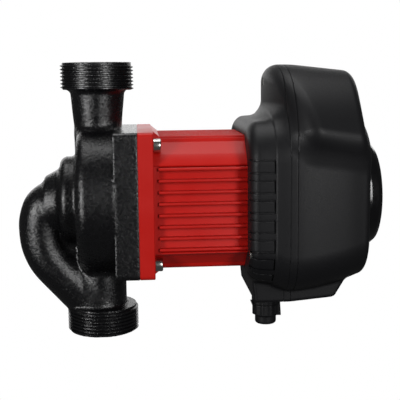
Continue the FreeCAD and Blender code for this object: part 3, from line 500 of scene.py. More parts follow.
def plain_finish(name, first, second, grain_mm, roughness, metallic=0.0, bump=0.15, ior=1.5):
    """A finish with a fine mottle: two close colours, and a little relief of the same grain."""
    material, tree, place = finish_tree(name)
    grain = noise(tree, place, grain_mm, 3.0)
    low, high = roughness * 0.85, roughness * 1.15
    inputs = {"Base Color": mixed(tree, grain, first, second), "Metallic": metallic,
              "Roughness": spread(tree, grain, 0.3, 0.7, low, high),
              "Normal": relief(tree, grain, bump, 0.1)}
    if not metallic:
        inputs["IOR"] = ior
    surface(tree, inputs)
    return material


def laminated():
    """Blued electrical sheet, stacked along the motor axis: a fine line for each sheet of 0.31 mm."""
    material, tree, place = finish_tree("stacked_electrical_steel")
    bands_per_unit = 10 / math.pi
    sheets = add(tree, "ShaderNodeTexWave", {
        "Vector": place, "Scale": per_mm(0.3143) / bands_per_unit,
        "Distortion": 0.0}, bands_direction="X").outputs["Fac"]
    surface(tree, {"Base Color": mixed(tree, sheets, "#55565A", "#6F7075"), "Metallic": 0.9,
                   "Roughness": 0.42, "Normal": relief(tree, sheets, 0.5, 0.1)})
    return material


CAST = cast_iron_paint()
THREAD = thread_paint()
RED = red_paint()
BOX = moulded_black()
FINISHES = {
    "cast_iron_paint": CAST,
    "red_paint": RED,
    "black_plastic": BOX,
    # bright zinc over steel: a cool mirror with a slight haze
    "zinc_steel": plain_finish("bright_zinc_on_steel", "#C4C2BC", "#DAD8D2", 1.2, 0.2, 1.0, 0.08),
    # deep drawn stainless sheet: soft sheen
    "stainless": plain_finish("drawn_stainless_steel", "#A3A4A6", "#B4B5B7", 0.8, 0.3, 1.0, 0.1),
    # glass filled plastic for hot water: dull dark brown grey
    "impeller_plastic": plain_finish("glass_filled_polyphenylene", "#2A2927", "#35332F", 0.8, 0.5),
    # ground alumina: off white, smooth
    "ceramic": plain_finish("ground_alumina", "#E4DFD4", "#EEEAE0", 0.6, 0.25, bump=0.05, ior=1.76),
    # carbon graphite: dark and slightly greasy
    "carbon": plain_finish("carbon_graphite", "#1B1B1D", "#29292B", 0.5, 0.42),
    "lamination": laminated(),
    # sintered ferrite: dark grey, stony
    "magnet": plain_finish("sintered_ferrite", "#2B2B2D", "#38383A", 0.7, 0.55),
    # enamelled winding wire: amber brown copper
    "copper": plain_finish("enamelled_copper", "#8F4A23", "#B8662F", 0.5, 0.3, 0.85, 0.4),
    # polished polycarbonate: gloss black, slightly hazed
    "gloss_black": plain_finish("polished_black_polycarbonate", "#050506", "#08080A", 3.0, 0.2,
                                bump=0.02, ior=1.58),
    # smoked acrylic window: nearly black, clear coat gloss
    "lens": plain_finish("smoked_acrylic", "#0B1014", "#10161B", 2.0, 0.06, bump=0.01, ior=1.49),
    # silicone keys: matt grey
    "key_rubber": plain_finish("silicone_rubber", "#3A3B3E", "#46474A", 0.5, 0.6, ior=1.41),
    # moulded EPDM: matt black
    "seal_rubber": plain_finish("moulded_epdm", "#141414", "#1E1E1E", 0.5, 0.7),
    # milled bar: pale, with a soft sheen
    "aluminium": plain_finish("milled_aluminium", "#B9BABC", "#C8C9CB", 0.7, 0.32, 1.0, 0.12),
    # solder resist over glass epoxy: glossy green
    "circuit_board": plain_finish("green_solder_resist", "#0C4A24", "#125A2D", 1.5, 0.28, bump=0.1),
    # moulded epoxy: dull black
    "component_black": plain_finish("epoxy_moulding", "#1A1A1B", "#242425", 0.4, 0.5),
    # shrunk PVC sleeve: glossy dark blue
    "component_sleeve": plain_finish("shrink_sleeve", "#141D3C", "#1B2547", 4.0, 0.25, bump=0.03),
    # moulded polyamide: satin pale grey
    "component_grey": plain_finish("grey_polyamide", "#8E9092", "#9C9EA0", 0.6, 0.5),
}
for part in frame["record"]["subparts"]:
    own = nodes[part["node"]].data.materials
    own.clear()
    own.append(FINISHES[part["material_slot"]])


# ---------------------------------------------------------------- pump housing

PORT_FACE, BOSS_END, THREAD_ROOT, PORT_BORE = 90.0, 72.5, 22.42, 12.8
FLANGE_LEFT, JOINT_FACE, FLANGE_HALF, SCREW_OUT = 10.2, 25.5, 46.5, 38.0
VOLUTE_LEFT, VOLUTE_RADIUS, BOSS_LEFT, BOSS_RADIUS = -14.0, 49.0, -25.5, 28.5
TUBE_RADIUS, PASSAGE_RADIUS, EYE_RADIUS = 15.5, 11.5, 16.0
CHAMBER_RADIUS, CHAMBER_RISE, OPENING_RADIUS, SEAT_RADIUS = 41.5, 2.5, 40.0, 42.5
NECK_ROOT, LOW_NECK_RADIUS, WEB_HALF, SCREW_HOLE_RADIUS = 14.6, 16.2, 6.0, 2.6
CUT_PAST = 5.0  # how far a cut runs on past the face it opens
HOUSING_STEP = 1.15


def suction_route(x, z):
    """Distance in the side view to the middle line of the suction elbow."""
    route = rod(x, z, (-14, 0), (-19.5, 0))
    route = np.minimum(route, bend_line(x, z, (-19.5, -19.5), 19.5, 90, 180))
    route = np.minimum(route, rod(x, z, (-39, -19.5), (-39, -21.5)))
    route = np.minimum(route, bend_line(x, z, (-4, -21.5), 35, 180, 221.9))
    return np.minimum(route, rod(x, z, (-30.05, -44.87), (-3, -75)))


def casting_swell(x, y, z):
    """The slow unevenness of a sand casting, about a tenth of a millimetre."""
    return (0.09 * np.sin(x * 0.21 + z * 0.12 + 1.3) * np.sin(y * 0.19 - x * 0.08)
            + 0.05 * np.sin(z * 0.31 + y * 0.17) * np.sin(x * 0.27 + 0.6))


def housing_outside(x, y, z):
    """The casting's outside: volute, boss, suction elbow, necks, web, flange and port bosses."""
    from_motor = np.hypot(y, z)
    from_pipe = np.hypot(x, y)
    volute = drum(x, from_motor, VOLUTE_LEFT, FLANGE_LEFT + 0.5, VOLUTE_RADIUS, 7, 0.6)
    boss = drum(x, from_motor, BOSS_LEFT, VOLUTE_LEFT + 4, BOSS_RADIUS, 5, 1)
    flare = trim(from_motor - np.clip(TUBE_RADIUS + (x + 36) * 0.52, 13, 24), -36 - x, 1)
    flare = trim(flare, x + 20, 1)
    body = blend(volute, boss, 2.5)
    outer_bend = np.exp(-(((x + 46) / 11) ** 2 + ((z - 3) / 13) ** 2))
    tube = np.hypot(suction_route(x, z), y) - TUBE_RADIUS - 1.7 * outer_bend
    tube = np.maximum(tube, -z - 78)
    neck_radius = np.interp(z, [20, 40, BOSS_END, 80], [NECK_ROOT, 14.9, 17.8, 18.2])
    neck = trim(from_pipe - neck_radius, 25 - z, 1)
    neck = np.maximum(neck, z - BOSS_END - 2)
    low_neck = np.maximum(np.maximum(from_pipe - LOW_NECK_RADIUS, z + 38), -z - BOSS_END - 2)
    web_outline = [(-30, -14), (-10, -14), (-10, -58), (-30, -48)]
    web = np.maximum(np.abs(y) - WEB_HALF, polygon(x, z, web_outline))
    body = blend(body, blend(tube, flare, 4), 3)
    body = blend(body, blend(low_neck, web, 4), 4)
    body = blend(body, neck, 4.5)
    body = body + casting_swell(x, y, z)
    flange = trim(plate(y, z, FLANGE_HALF, FLANGE_HALF, 3), FLANGE_LEFT - x, 1.2)
    flange = trim(flange, x - JOINT_FACE, 0.5)
    body = blend(body, flange, 1.0)
    port_boss = from_pipe - THREAD_ROOT - 0.2
    top_boss = trim(trim(port_boss, z - PORT_FACE, 0.8), BOSS_END - z, 0.6)
    low_boss = trim(trim(port_boss, -PORT_FACE - z, 0.8), z + BOSS_END, 0.6)
    body = blend(body, top_boss, 3.4)
    return blend(body, low_boss, 2.2)


def housing_room(x, y, z):
    """Everything hollow in the casting: the water's way through it and the screw holes."""
    from_motor = np.hypot(y, z)
    from_pipe = np.hypot(x, y)
    past_joint = JOINT_FACE + CUT_PAST
    chamber = drum(x, np.hypot(y, z - CHAMBER_RISE), -8, 12, CHAMBER_RADIUS, 3, 0.5)
    opening = np.minimum(drum(x, from_motor, 11, past_joint, OPENING_RADIUS, 0.2, 0.2),
                         drum(x, from_motor, 20.5, past_joint, SEAT_RADIUS, 0.2, 0.2))
    eye = drum(x, from_motor, -15, -6, EYE_RADIUS, 0.2, 0.2)
    passage = np.hypot(suction_route(x, z), y) - PASSAGE_RADIUS
    outlet = np.maximum(from_pipe - np.interp(z, [40, 70], [10.5, PORT_BORE]), 25 - z)
    inlet = np.maximum(from_pipe - PORT_BORE, z + 74)
    room = np.minimum(np.minimum(np.minimum(chamber, opening), np.minimum(eye, passage)),
                      np.minimum(outlet, inlet))
    for side in (-1, 1):
        for end in (-1, 1):
            from_hole = np.hypot(y - SCREW_OUT * side, z - SCREW_OUT * end)
            hole = drum(x, from_hole, 13.5, past_joint, SCREW_HOLE_RADIUS, 0.1, 0.1)
            room = np.minimum(room, hole)
    return room


def housing_field(x, y, z):
    """The whole casting, hollow, with softened mouths."""
    return trim(housing_outside(x, y, z), -housing_room(x, y, z), 0.4)


def geometry_tree(name, sizes):
    """A node tree for a modifier, with a named input for each size."""
    tree = bpy.data.node_groups.new(name, "GeometryNodeTree")
    tree.interface.new_socket("Geometry", in_out="INPUT", socket_type="NodeSocketGeometry")
    tree.interface.new_socket("Geometry", in_out="OUTPUT", socket_type="NodeSocketGeometry")
    for label, value in sizes.items():
        kind = "NodeSocketInt" if isinstance(value, int) else "NodeSocketFloat"
        socket = tree.interface.new_socket(label, in_out="INPUT", socket_type=kind)
        socket.default_value = value
    return tree, tree.nodes.new("NodeGroupInput").outputs


def grown(name, tree, last, finish, sizes, start=None):
    """Runs a node tree on an empty mesh, or on a given one, and keeps the result as a plain mesh."""
    painted = add(tree, "GeometryNodeSetMaterial", {
        "Geometry": add(tree, "GeometryNodeRealizeInstances", {"Geometry": last}).outputs[0],
        "Material": finish})
    smooth = add(tree, "GeometryNodeSetShadeSmooth", {"Geometry": painted.outputs[0]})
    out = tree.nodes.new("NodeGroupOutput")
    tree.links.new(smooth.outputs[0], out.inputs[0])
    obj = start
    if not obj:
        obj = bpy.data.objects.new(name, bpy.data.meshes.new(name))
        bpy.context.scene.collection.objects.link(obj)
    obj.name = name
    modifier = obj.modifiers.new("grow", "NODES")
    modifier.node_group = tree
    for item in tree.interface.items_tree:
        if item.in_out == "INPUT" and item.name in sizes:
            modifier[item.identifier] = sizes[item.name]
    settle(obj)
    if not obj.data.materials:
        obj.data.materials.append(finish)
    return obj


def math_node(tree, operation, first, second):
    """One sum on two values or links."""
    node = add(tree, "ShaderNodeMath", operation=operation)
    for socket, value in zip(node.inputs, (first, second)):
        if isinstance(value, bpy.types.NodeSocket):
            tree.links.new(value, socket)
        else:
            socket.default_value = value
    return node.outputs[0]


def pipe_thread(name, low):
    """A right-handed pipe thread: a triangular ridge carried up a helix."""
    sizes = {"Root radius": 22.3 * MM, "Pitch": 2.309 * MM, "Turns": 6.6, "Depth": 1.55 * MM,
             "Foot share": 0.47, "Crest share": 0.12, "Sunk share": -0.3, "Low": low * MM}
    tree, given = geometry_tree("pipe_thread", sizes)
    height = math_node(tree, "MULTIPLY", given["Pitch"], given["Turns"])
    helix = add(tree, "GeometryNodeCurveSpiral", {
        "Resolution": 96, "Rotations": given["Turns"], "Start Radius": given["Root radius"],
        "End Radius": given["Root radius"], "Height": height})
    upright = add(tree, "GeometryNodeSetCurveNormal", {"Curve": helix.outputs[0]}, mode="Z_UP")
    foot = math_node(tree, "MULTIPLY", given["Pitch"], given["Foot share"])
    crest = math_node(tree, "MULTIPLY", given["Pitch"], given["Crest share"])
    sunk = math_node(tree, "MULTIPLY", given["Depth"], given["Sunk share"])
    depth = given["Depth"]
    points = {}
    corners = ((sunk, foot, -1.0), (depth, crest, -1.0), (depth, crest, 1.0), (sunk, foot, 1.0))
    for i, (out_by, along, sign) in enumerate(corners, 1):
        up = math_node(tree, "MULTIPLY", along, sign)
        across = math_node(tree, "MULTIPLY", out_by, -1.0)
        place = add(tree, "ShaderNodeCombineXYZ", {"X": across, "Y": up})
        points[f"Point {i}"] = place.outputs[0]
    ridge = add(tree, "GeometryNodeCurvePrimitiveQuadrilateral", points, mode="POINTS")
    thread = add(tree, "GeometryNodeCurveToMesh", {
        "Curve": upright.outputs[0], "Profile Curve": ridge.outputs[0], "Fill Caps": True})
    lift = add(tree, "ShaderNodeCombineXYZ", {"Z": given["Low"]})
    placed = add(tree, "GeometryNodeTransform", {
        "Geometry": thread.outputs[0], "Translation": lift.outputs[0]})
    return outward(grown(name, tree, placed.outputs[0], THREAD, sizes))


housing = contour("cast_pump_housing", housing_field, (-56, -50.5, -PORT_FACE), (26, 50.5, PORT_FACE),
                  HOUSING_STEP, CAST)
top_thread = pipe_thread("outlet_thread", AXIS_HEIGHT + PORT_FACE - 17)
low_thread = pipe_thread("inlet_thread", AXIS_HEIGHT - PORT_FACE + 1.2)
pump_casting = contained(join("pump_casting", [housing, top_thread, low_thread]))
shade(pump_casting)
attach(pump_casting, "pump")
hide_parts("pump_housing")


# ---------------------------------------------------------------- motor housing

# One corner of the motor body across its axis: a flat side, a faceted lump and a flat top. The side's
# edge is higher above the axis than below it, so the first two heights come from SIDE_EDGES.
MOTOR_SIDE = (40.5, 44.0)
MOTOR_CORNER = ((37.6, 32.4), (30.0, 39.4), (28.5, 43.0), (27.3, 39.5))
SIDE_EDGES = {1: 25.5, -1: 30.0}


def motor_outline(grow=0.0, side=None, top=None):
    """The motor body across its axis, as corners in turn. Its fins' side and top can be given."""
    corners = []
    for across_sign, up_sign in ((1, 1), (-1, 1), (-1, -1), (1, -1)):
        edge = SIDE_EDGES[up_sign]
        inner, outer = MOTOR_SIDE
        turn = [(side or inner, edge - 1), (outer, edge)]
        turn += [(across, up + grow) for across, up in MOTOR_CORNER[:-1]]
        across, up = MOTOR_CORNER[-1]
        turn.append((across, top or up + grow))
        turn = [((across + grow) * across_sign, up * up_sign) for across, up in turn]
        corners += turn if across_sign == up_sign else turn[::-1]
    return corners


FIN_PITCH, FIN_COUNT, STATOR_RIGHT, STATOR_FLANGE_RIGHT = 7.3, 8, 104.0, 35.3
FIN_SIDE, FIN_TOP, STATOR_BORE, GUSSET_LEFT, LEDGE_MIDDLE = 44.5, 43.0, 38.0, 34.8, 41.0


def fin_rows(name):
    """Rounded fins in a row on each of the four sides of the motor."""
    sizes = {"Fins": FIN_COUNT, "Pitch": FIN_PITCH * MM, "Wall": 2.0 * MM, "Depth": 6.0 * MM,
             "Rounding": 0.75 * MM, "Left": 38.3 * MM, "Right": STATOR_RIGHT * MM,
             "Side reach": FIN_SIDE * MM, "Top reach": FIN_TOP * MM, "Drop": 2.05 * MM,
             "Axis height": AXIS_HEIGHT * MM}
    tree, given = geometry_tree("motor_fins", sizes)
    run = add(tree, "GeometryNodeCurvePrimitiveLine", {
        "Start": add(tree, "ShaderNodeCombineXYZ", {"X": given["Left"]}).outputs[0],
        "End": add(tree, "ShaderNodeCombineXYZ", {"X": given["Right"]}).outputs[0]})
    upright = add(tree, "GeometryNodeSetCurveNormal", {"Curve": run.outputs[0]}, mode="Z_UP")
    section = add(tree, "GeometryNodeCurvePrimitiveQuadrilateral", {
        "Width": given["Wall"], "Height": given["Depth"]})
    rounded = add(tree, "GeometryNodeFilletCurve", {
        "Curve": section.outputs[0], "Radius": given["Rounding"],
        "Count": 4, "Limit Radius": True}, mode="POLY")
    fin = add(tree, "GeometryNodeCurveToMesh", {
        "Curve": upright.outputs[0], "Profile Curve": rounded.outputs[0], "Fill Caps": True})
    half_depth = math_node(tree, "MULTIPLY", given["Depth"], 0.5)
    row_reach = math_node(tree, "MULTIPLY", given["Pitch"], (FIN_COUNT - 1) / -2)
    together = add(tree, "GeometryNodeJoinGeometry")
    rows = ((0, "Top reach", 0.0), (1, "Side reach", 1.0),
            (2, "Top reach", 0.0), (3, "Side reach", -1.0))
    for quarter, reach, drop in rows:
        dropped = math_node(tree, "MULTIPLY", given["Drop"], -drop)
        start = math_node(tree, "ADD", row_reach, dropped)
        out = math_node(tree, "SUBTRACT", given[reach], half_depth)
        line = add(tree, "GeometryNodeMeshLine", {
            "Count": given["Fins"],
            "Start Location": add(tree, "ShaderNodeCombineXYZ", {"Y": start, "Z": out}).outputs[0],
            "Offset": add(tree, "ShaderNodeCombineXYZ", {"Y": given["Pitch"]}).outputs[0]},
            mode="OFFSET")
        stood = add(tree, "GeometryNodeInstanceOnPoints", {
            "Points": line.outputs[0], "Instance": fin.outputs[0]})
        rolled = add(tree, "GeometryNodeTransform", {
            "Geometry": stood.outputs[0], "Rotation": (math.pi / 2 * quarter, 0, 0)})
        tree.links.new(rolled.outputs[0], together.inputs[0])
    lift = add(tree, "ShaderNodeCombineXYZ", {"Z": given["Axis height"]})
    placed = add(tree, "GeometryNodeTransform", {
        "Geometry": together.outputs[0], "Translation": lift.outputs[0]})
    return grown(name, tree, placed.outputs[0], RED, sizes)


square = [(-FLANGE_HALF, -FLANGE_HALF), (FLANGE_HALF, -FLANGE_HALF), (FLANGE_HALF, FLANGE_HALF),
          (-FLANGE_HALF, FLANGE_HALF)]
flange = sleeve("stator_flange", soften(square, 3.0, 5), JOINT_FACE, STATOR_FLANGE_RIGHT, 0.5,
                STATOR_BORE, RED)
barrel = sleeve("stator_barrel", soften(motor_outline(), 1.0, 3), GUSSET_LEFT, STATOR_RIGHT, 0.6,
                STATOR_BORE, RED)
gussets = []
for i, end in enumerate((1, -1)):
    side_view = [(GUSSET_LEFT, end * 38.5), (GUSSET_LEFT, end * 46.3), (35.4, end * 46.3),
                 (39.5, end * 43.0), (39.5, end * 38.5)]
    gussets.append(prism(f"stator_gusset_{i}", soften(side_view, 0.5, 2), 30, 0.6, RED))
ledges = []
for i, side in enumerate((1, -1)):
    side_view = [(GUSSET_LEFT, -30), (GUSSET_LEFT, 26), (38.6, 26), (38.6, -30)]
    ledges.append(prism(f"stator_ledge_{i}", soften(side_view, 0.5, 2), 1.6, 0.4, RED,
                        middle=side * LEDGE_MIDDLE))
motor_casting = join("motor_casting", [flange, barrel, fin_rows("motor_fins")] + gussets + ledges)
shade(motor_casting, 30)
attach(motor_casting, "pump")
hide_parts("stator_housing")


# ---------------------------------------------------------------- control box

BEFORE_BOX, PAST_BOX, PLACE_STEP = 88, 182, 0.25
BOX_PLACES = np.arange(BEFORE_BOX, PAST_BOX, PLACE_STEP)


def eased(places, sizes, reach):
    """A size that changes smoothly along the motor axis."""
    raw = np.interp(BOX_PLACES, places, sizes)
    count = int(reach / PLACE_STEP) * 2 + 1
    weight = np.hanning(count + 2)[1:-1]
    padded = np.pad(raw, count // 2, mode="edge")
    return np.convolve(padded, weight / weight.sum(), mode="valid")


BOX_LEFT, SEAM_LEFT, SEAM_RIGHT, FACE_RIGHT = 93.7, 118.3, 123.0, 172.0
DRUM_PLACES = [BOX_LEFT, 98, 109.4, 110.6, SEAM_LEFT, SEAM_RIGHT, 137, 158, FACE_RIGHT]
DRUM_HALF = eased(DRUM_PLACES, [58.2, 59.0, 59.3, 59.4, 60.4, 60.6, 59.4, 55.5, 50.5], 14)
DRUM_LOW = eased(DRUM_PLACES, [-50.5, -51.5, -52.6, -53.2, -57, -57, -55.5, -51.5, -47.5], 8)
DRUM_HIGH = eased(DRUM_PLACES, [50, 52, 52.5, 53, 54, 54, 53, 50, 47.5], 8)
HEAD_RADIUS = eased([110, 128, 167, 171.5], [80, 80, 75.5, 74.5], 8)
HEAD_SQUEEZE = eased([110, 125, 167, 171.5], [1, 1, 1.13, 1.14], 8)
HEAD_LEFT, HEAD_RIGHT, HEAD_LIFT, HEAD_HALF = 110.0, 170.0, 7.5, 70
EAR_OUT, EAR_UP, EAR_SLOPE = 44, 22.7, math.radians(41.2)
RING_STEP, RING_LIP, DRUM_BEND = 109.6, 0.6, 26
BLOCK_TOP, BLOCK_FLOOR, BLOCK_HALF = -40.0, -66.0, 36
BLOCK_LEFT, BLOCK_RIGHT = 97, 160
BOX_WALL = 2.6


def drum_part(x, y, z):
    """The squarish drum round the motor, stepped out past the vented ring."""
    half = np.interp(x, BOX_PLACES, DRUM_HALF)
    low = np.interp(x, BOX_PLACES, DRUM_LOW)
    high = np.interp(x, BOX_PLACES, DRUM_HIGH)
    body = plate(y, z - (low + high) / 2, half, (high - low) / 2, DRUM_BEND)
    body = body - RING_LIP * np.clip((x - RING_STEP) / 0.8, 0, 1)
    body = trim(body, BOX_LEFT - x, 6.5)
    return trim(body, x - FACE_RIGHT, 5)


def head_part(x, y, z):
    """The arched head over the drum, cut under its ears, with a sloping face."""
    above = z - HEAD_LIFT
    squeezed = y * np.interp(x, BOX_PLACES, HEAD_SQUEEZE)
    arch = np.hypot(squeezed, above) - np.interp(x, BOX_PLACES, HEAD_RADIUS)
    out = np.abs(y)
    under = (out - EAR_OUT) * math.sin(EAR_SLOPE) - (z - EAR_UP) * math.cos(EAR_SLOPE)
    head = trim(trim(arch, under, 7), out - HEAD_HALF, 2)
    head = trim(head, HEAD_LEFT + y * y / 240 - x, 10)
    from_middle = np.hypot(y, above)
    shoulder = 12 * (y * above / (from_middle ** 2 + 100)) ** 2
    return trim(head, x - HEAD_RIGHT - 1.5 + from_middle * 0.045 + shoulder, 5)


def block_part(x, y, z):
    """The terminal block under the drum, with leaning ends."""
    left = (BLOCK_LEFT - x) * 0.995 + (z - BLOCK_TOP) * -0.096
    right = (x - BLOCK_RIGHT) * 0.857 - (z + 50) * 0.515
    floor_rise = np.clip((x - SEAM_RIGHT) * 0.09, 0, 2.5)
    floor_and_sides = trim(np.abs(y) - BLOCK_HALF, floor_rise + BLOCK_FLOOR - z, 2)
    block = trim(floor_and_sides, trim(left, right, 2), 2)
    return np.maximum(block, z - BLOCK_TOP)


def box_field(x, y, z):
    """The outside of the control box: a squarish drum, an arched head over it, and a terminal block."""
    body = trim(blend(drum_part(x, y, z), head_part(x, y, z), 10), x - FACE_RIGHT, 3)
    return blend(body, block_part(x, y, z), 1.5)


def box_shell(left, right, edge=0.5):
    """The wall of the box between two places, its outer edge slightly rounded."""

    def field(x, y, z):
        outside = box_field(x, y, z)
        solid = trim(trim(outside, left - x, edge), x - right, edge)
        return np.maximum(solid, -(outside + BOX_WALL))

    return field


# The rear screws: across, up, and where the face they sit in lies along the motor axis.
REAR_SCREWS = ((52, -30, BOX_LEFT), (-52, -30, BOX_LEFT), (0, 76, HEAD_LEFT))
MOTOR_HOLE = motor_outline(0.6, FIN_SIDE, FIN_TOP)
GLAND_X, GLAND_HOLE_RADIUS = 112.0, 6.2
VENT_PITCH, VENT_TOP, VENT_COUNT = 12.33, 25.6, 7
RING_HALF, RING_STRAIGHT_END = 59.4, -26.0


def vent_frame(place):
    """Middle and turn of a vent at a distance round the ring, from the top of its straight side."""
    if place >= RING_STRAIGHT_END:
        return RING_HALF, place, 0.0
    turn = (RING_STRAIGHT_END - place) / DRUM_BEND
    return (RING_HALF - DRUM_BEND + DRUM_BEND * math.cos(turn),
            RING_STRAIGHT_END - DRUM_BEND * math.sin(turn), -turn)


VENTS = [vent_frame(VENT_TOP - VENT_PITCH * i) for i in range(VENT_COUNT)]


def from_vent(y, z, place, side):
    """How far out from a vent's middle a point is, and how far along the ring."""
    across, up, turn = place
    away = (y * side - across) * math.cos(turn) + (z - up) * math.sin(turn)
    return away, (z - up) * math.cos(turn) - (y * side - across) * math.sin(turn)


def rear_field(x, y, z):
    """The rear shell: its wall, a wall across it, screw pillars, the motor's hole and the vents."""
    wall = box_shell(BEFORE_BOX, SEAM_LEFT)(x, y, z)
    outside = box_field(x, y, z)
    inner_wall = np.maximum(span(x, 104, 106.5), outside)
    wall = np.minimum(wall, inner_wall)
    for across, up, face in REAR_SCREWS:
        out = np.hypot(y - across, z - up)
        pillar = drum(x, out, face + 1, SEAM_LEFT, 4.2, 0.1, 0.1)
        wall = np.minimum(wall, np.maximum(pillar, outside))
        way = np.minimum(drum(x, out, 80, SEAM_LEFT + 2, 1.95, 0.1, 0.1),
                         drum(x, out, 80, face + 2.4, 3.1, 0.1, 0.1))
        wall = np.maximum(wall, -way)
    hole = np.maximum(polygon(y, z, MOTOR_HOLE), x - 104)
    wall = trim(wall, -hole, 0.8)
    wall = np.maximum(wall, -np.maximum(np.hypot(y, z) - 32, span(x, 100, 110)))
    gland_hole = np.hypot(x - GLAND_X, y) - GLAND_HOLE_RADIUS
    wall = np.maximum(wall, -np.maximum(gland_hole, z - BLOCK_TOP))
    for place in VENTS:
        for side in (1, -1):
            away, along = from_vent(y, z, place, side)
            window = trim(plate(x - 99.1, along, 10.1, 4.4, 0.7), np.abs(away) - 7, 0.1)
            window = np.maximum(window, -(outside + 1.2))
            wall = trim(wall, -window, 0.2)
    return wall


def vent_slat(name, place, side):
    """A slat set in a window of the ring, following the ring's own surface."""

    def field(x, y, z):
        away, along = from_vent(y, z, place, side)
        outside = box_field(x, y, z)
        slat = trim(plate(x - 98.9, along, 9.5, 3.45, 0.7), outside + 0.02, 0.35)
        return np.maximum(np.maximum(slat, -(outside + 1.8)), np.abs(away) - 8)

    across, up, _ = place
    reach = 9.0
    middle = across * side
    return contour(name, field, (93.2, middle - reach, up - reach), (109.0, middle + reach, up + reach),
                   0.5, BOX, 30)


def cover_field(x, y, z):
    """The front cover: its wall, open behind the display ring."""
    opening = np.maximum(np.hypot(y, z) - 30, 165 - x)
    return np.maximum(box_shell(SEAM_RIGHT, 180)(x, y, z), -opening)


BOX_HALF, BOX_LOW, BOX_HIGH = 72, -67, 88
rear_shell = contour("vented_rear_shell", rear_field, (93, -BOX_HALF, BOX_LOW),
                     (SEAM_LEFT, BOX_HALF, BOX_HIGH), 0.8, BOX, 35)
slats = join("vent_slats", [vent_slat(f"slat_{i}_{side}", place, side)
                            for i, place in enumerate(VENTS) for side in (1, -1)])
shade(slats, 35)
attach(slats, "pump")
front = contour("front_cover", cover_field, (SEAM_RIGHT, -BOX_HALF, BOX_LOW),
                (172.5, BOX_HALF, BOX_HIGH), 1.0, BOX)
band = contour("seam_band", box_shell(SEAM_LEFT, SEAM_RIGHT), (SEAM_LEFT, -BOX_HALF, BOX_LOW),
               (SEAM_RIGHT, BOX_HALF, BOX_HIGH), 0.6, BOX)
for piece, node in ((rear_shell, "box_rear_shell"), (front, "box_front_cover"), (band, "box_seal")):
    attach(piece, "pump")
    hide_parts(node)


# ---------------------------------------------------------------- screws

SCREW_TIP, SCREW_TOP = 16.5, STATOR_FLANGE_RIGHT + 5.0
SCREW_SHANK, SCREW_HEAD, SCREW_SOCKET, SCREW_SOCKET_DEPTH = 2.5, 4.25, 2.05, 2.6


def socket_screw(name, finish, segments=48):
    """A cylinder-head screw along the motor axis, with a rounded head and a hexagon socket."""
    tip, neck, top = SCREW_TIP, STATOR_FLANGE_RIGHT, SCREW_TOP
    shank, head, floor = SCREW_SHANK, SCREW_HEAD, SCREW_TOP - SCREW_SOCKET_DEPTH
    loops = []
    for k in range(segments):
        a = 2 * math.pi * k / segments
        wall = SCREW_SOCKET / math.cos((a + math.pi / 6) % (math.pi / 3) - math.pi / 6)
        outline = [(tip, 0), (tip, shank - 0.5), (tip + 0.5, shank), (neck, shank), (neck, head - 0.3),
                   (neck + 0.3, head), (top - 0.9, head), (top - 0.45, head - 0.12),
                   (top - 0.12, head - 0.45), (top, head - 0.9), (top, wall + 0.15),
                   (top - 0.15, wall), (floor, wall), (floor - 0.8, 0)]
        loops.append([(along, out * math.cos(a), out * math.sin(a)) for along, out in outline])
    points, faces = rings(np.array(loops), joined_ends=True)
    return shade(outward(mesh_object(name, points, faces, finish)), 40)


def four_screws(name, screw, finish):
    """One screw repeated at the four corners of the flange."""
    sizes = {"Spacing": SCREW_OUT * 2 * MM}
    tree, given = geometry_tree("corner_screws", sizes)
    grid = add(tree, "GeometryNodeMeshGrid", {
        "Size X": given["Spacing"], "Size Y": given["Spacing"], "Vertices X": 2, "Vertices Y": 2})
    upright = add(tree, "GeometryNodeTransform", {
        "Geometry": grid.outputs[0], "Rotation": (0, math.pi / 2, 0)})
    stood = add(tree, "GeometryNodeInstanceOnPoints", {
        "Points": upright.outputs[0], "Instance": given["Geometry"]})
    return grown(name, tree, stood.outputs[0], finish, sizes, screw)


ZINC = FINISHES["zinc_steel"]
corner_screws = shade(four_screws("corner_screws", socket_screw("flange_screw", ZINC), ZINC), 40)
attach(corner_screws, "pump")
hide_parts("flange_screws")


# ---------------------------------------------------------------- display ring and cable gland

# The ring's section, as (along, out) from where it enters the cover to its front lip.
RING_SECTION = [(171.2, 31.05), (171.2, 35.2), (173.2, 36.0), (176.0, 36.0), (181.2, 34.6, 3.0),
                (183.8, 32.6, 0.8), (183.8, 31.6), (182.4, 31.05)]
display_ring = turned("display_ring", RING_SECTION, FINISHES["gloss_black"], 160, 0.5)
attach(display_ring, "pump")
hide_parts("display_bezel")

COLLAR_FLOOR, NUT_FLOOR, GLAND_END, STEM_TOP, WING_TOP = -76.0, -83.6, -89.8, -57.5, -74.2
COLLAR_RADIUS, STEM_RADIUS, SKIRT_RADIUS, END_RADIUS = 9.3, 6.0, 8.9, 7.3
STEM_BORE, LEAD_BORE = 4.6, 3.4
RIB_COUNT, COLLAR_RIB, SKIRT_RIB = 10, 0.3, 0.28


def collar_field(x, y, z):
    """The ribbed collar screwed into the terminal block, and its thread inside the box."""
    out = np.hypot(x - GLAND_X, y)
    ribs = COLLAR_RIB * np.cos(RIB_COUNT * np.arctan2(y, x - GLAND_X))
    collar = drum(z, out - ribs, COLLAR_FLOOR, BLOCK_FLOOR, COLLAR_RADIUS, 0.5, 0.3)
    stem = drum(z, out, BLOCK_FLOOR - 2, STEM_TOP, STEM_RADIUS, 0.1, 0.6)
    return np.maximum(np.minimum(collar, stem), STEM_BORE - out)


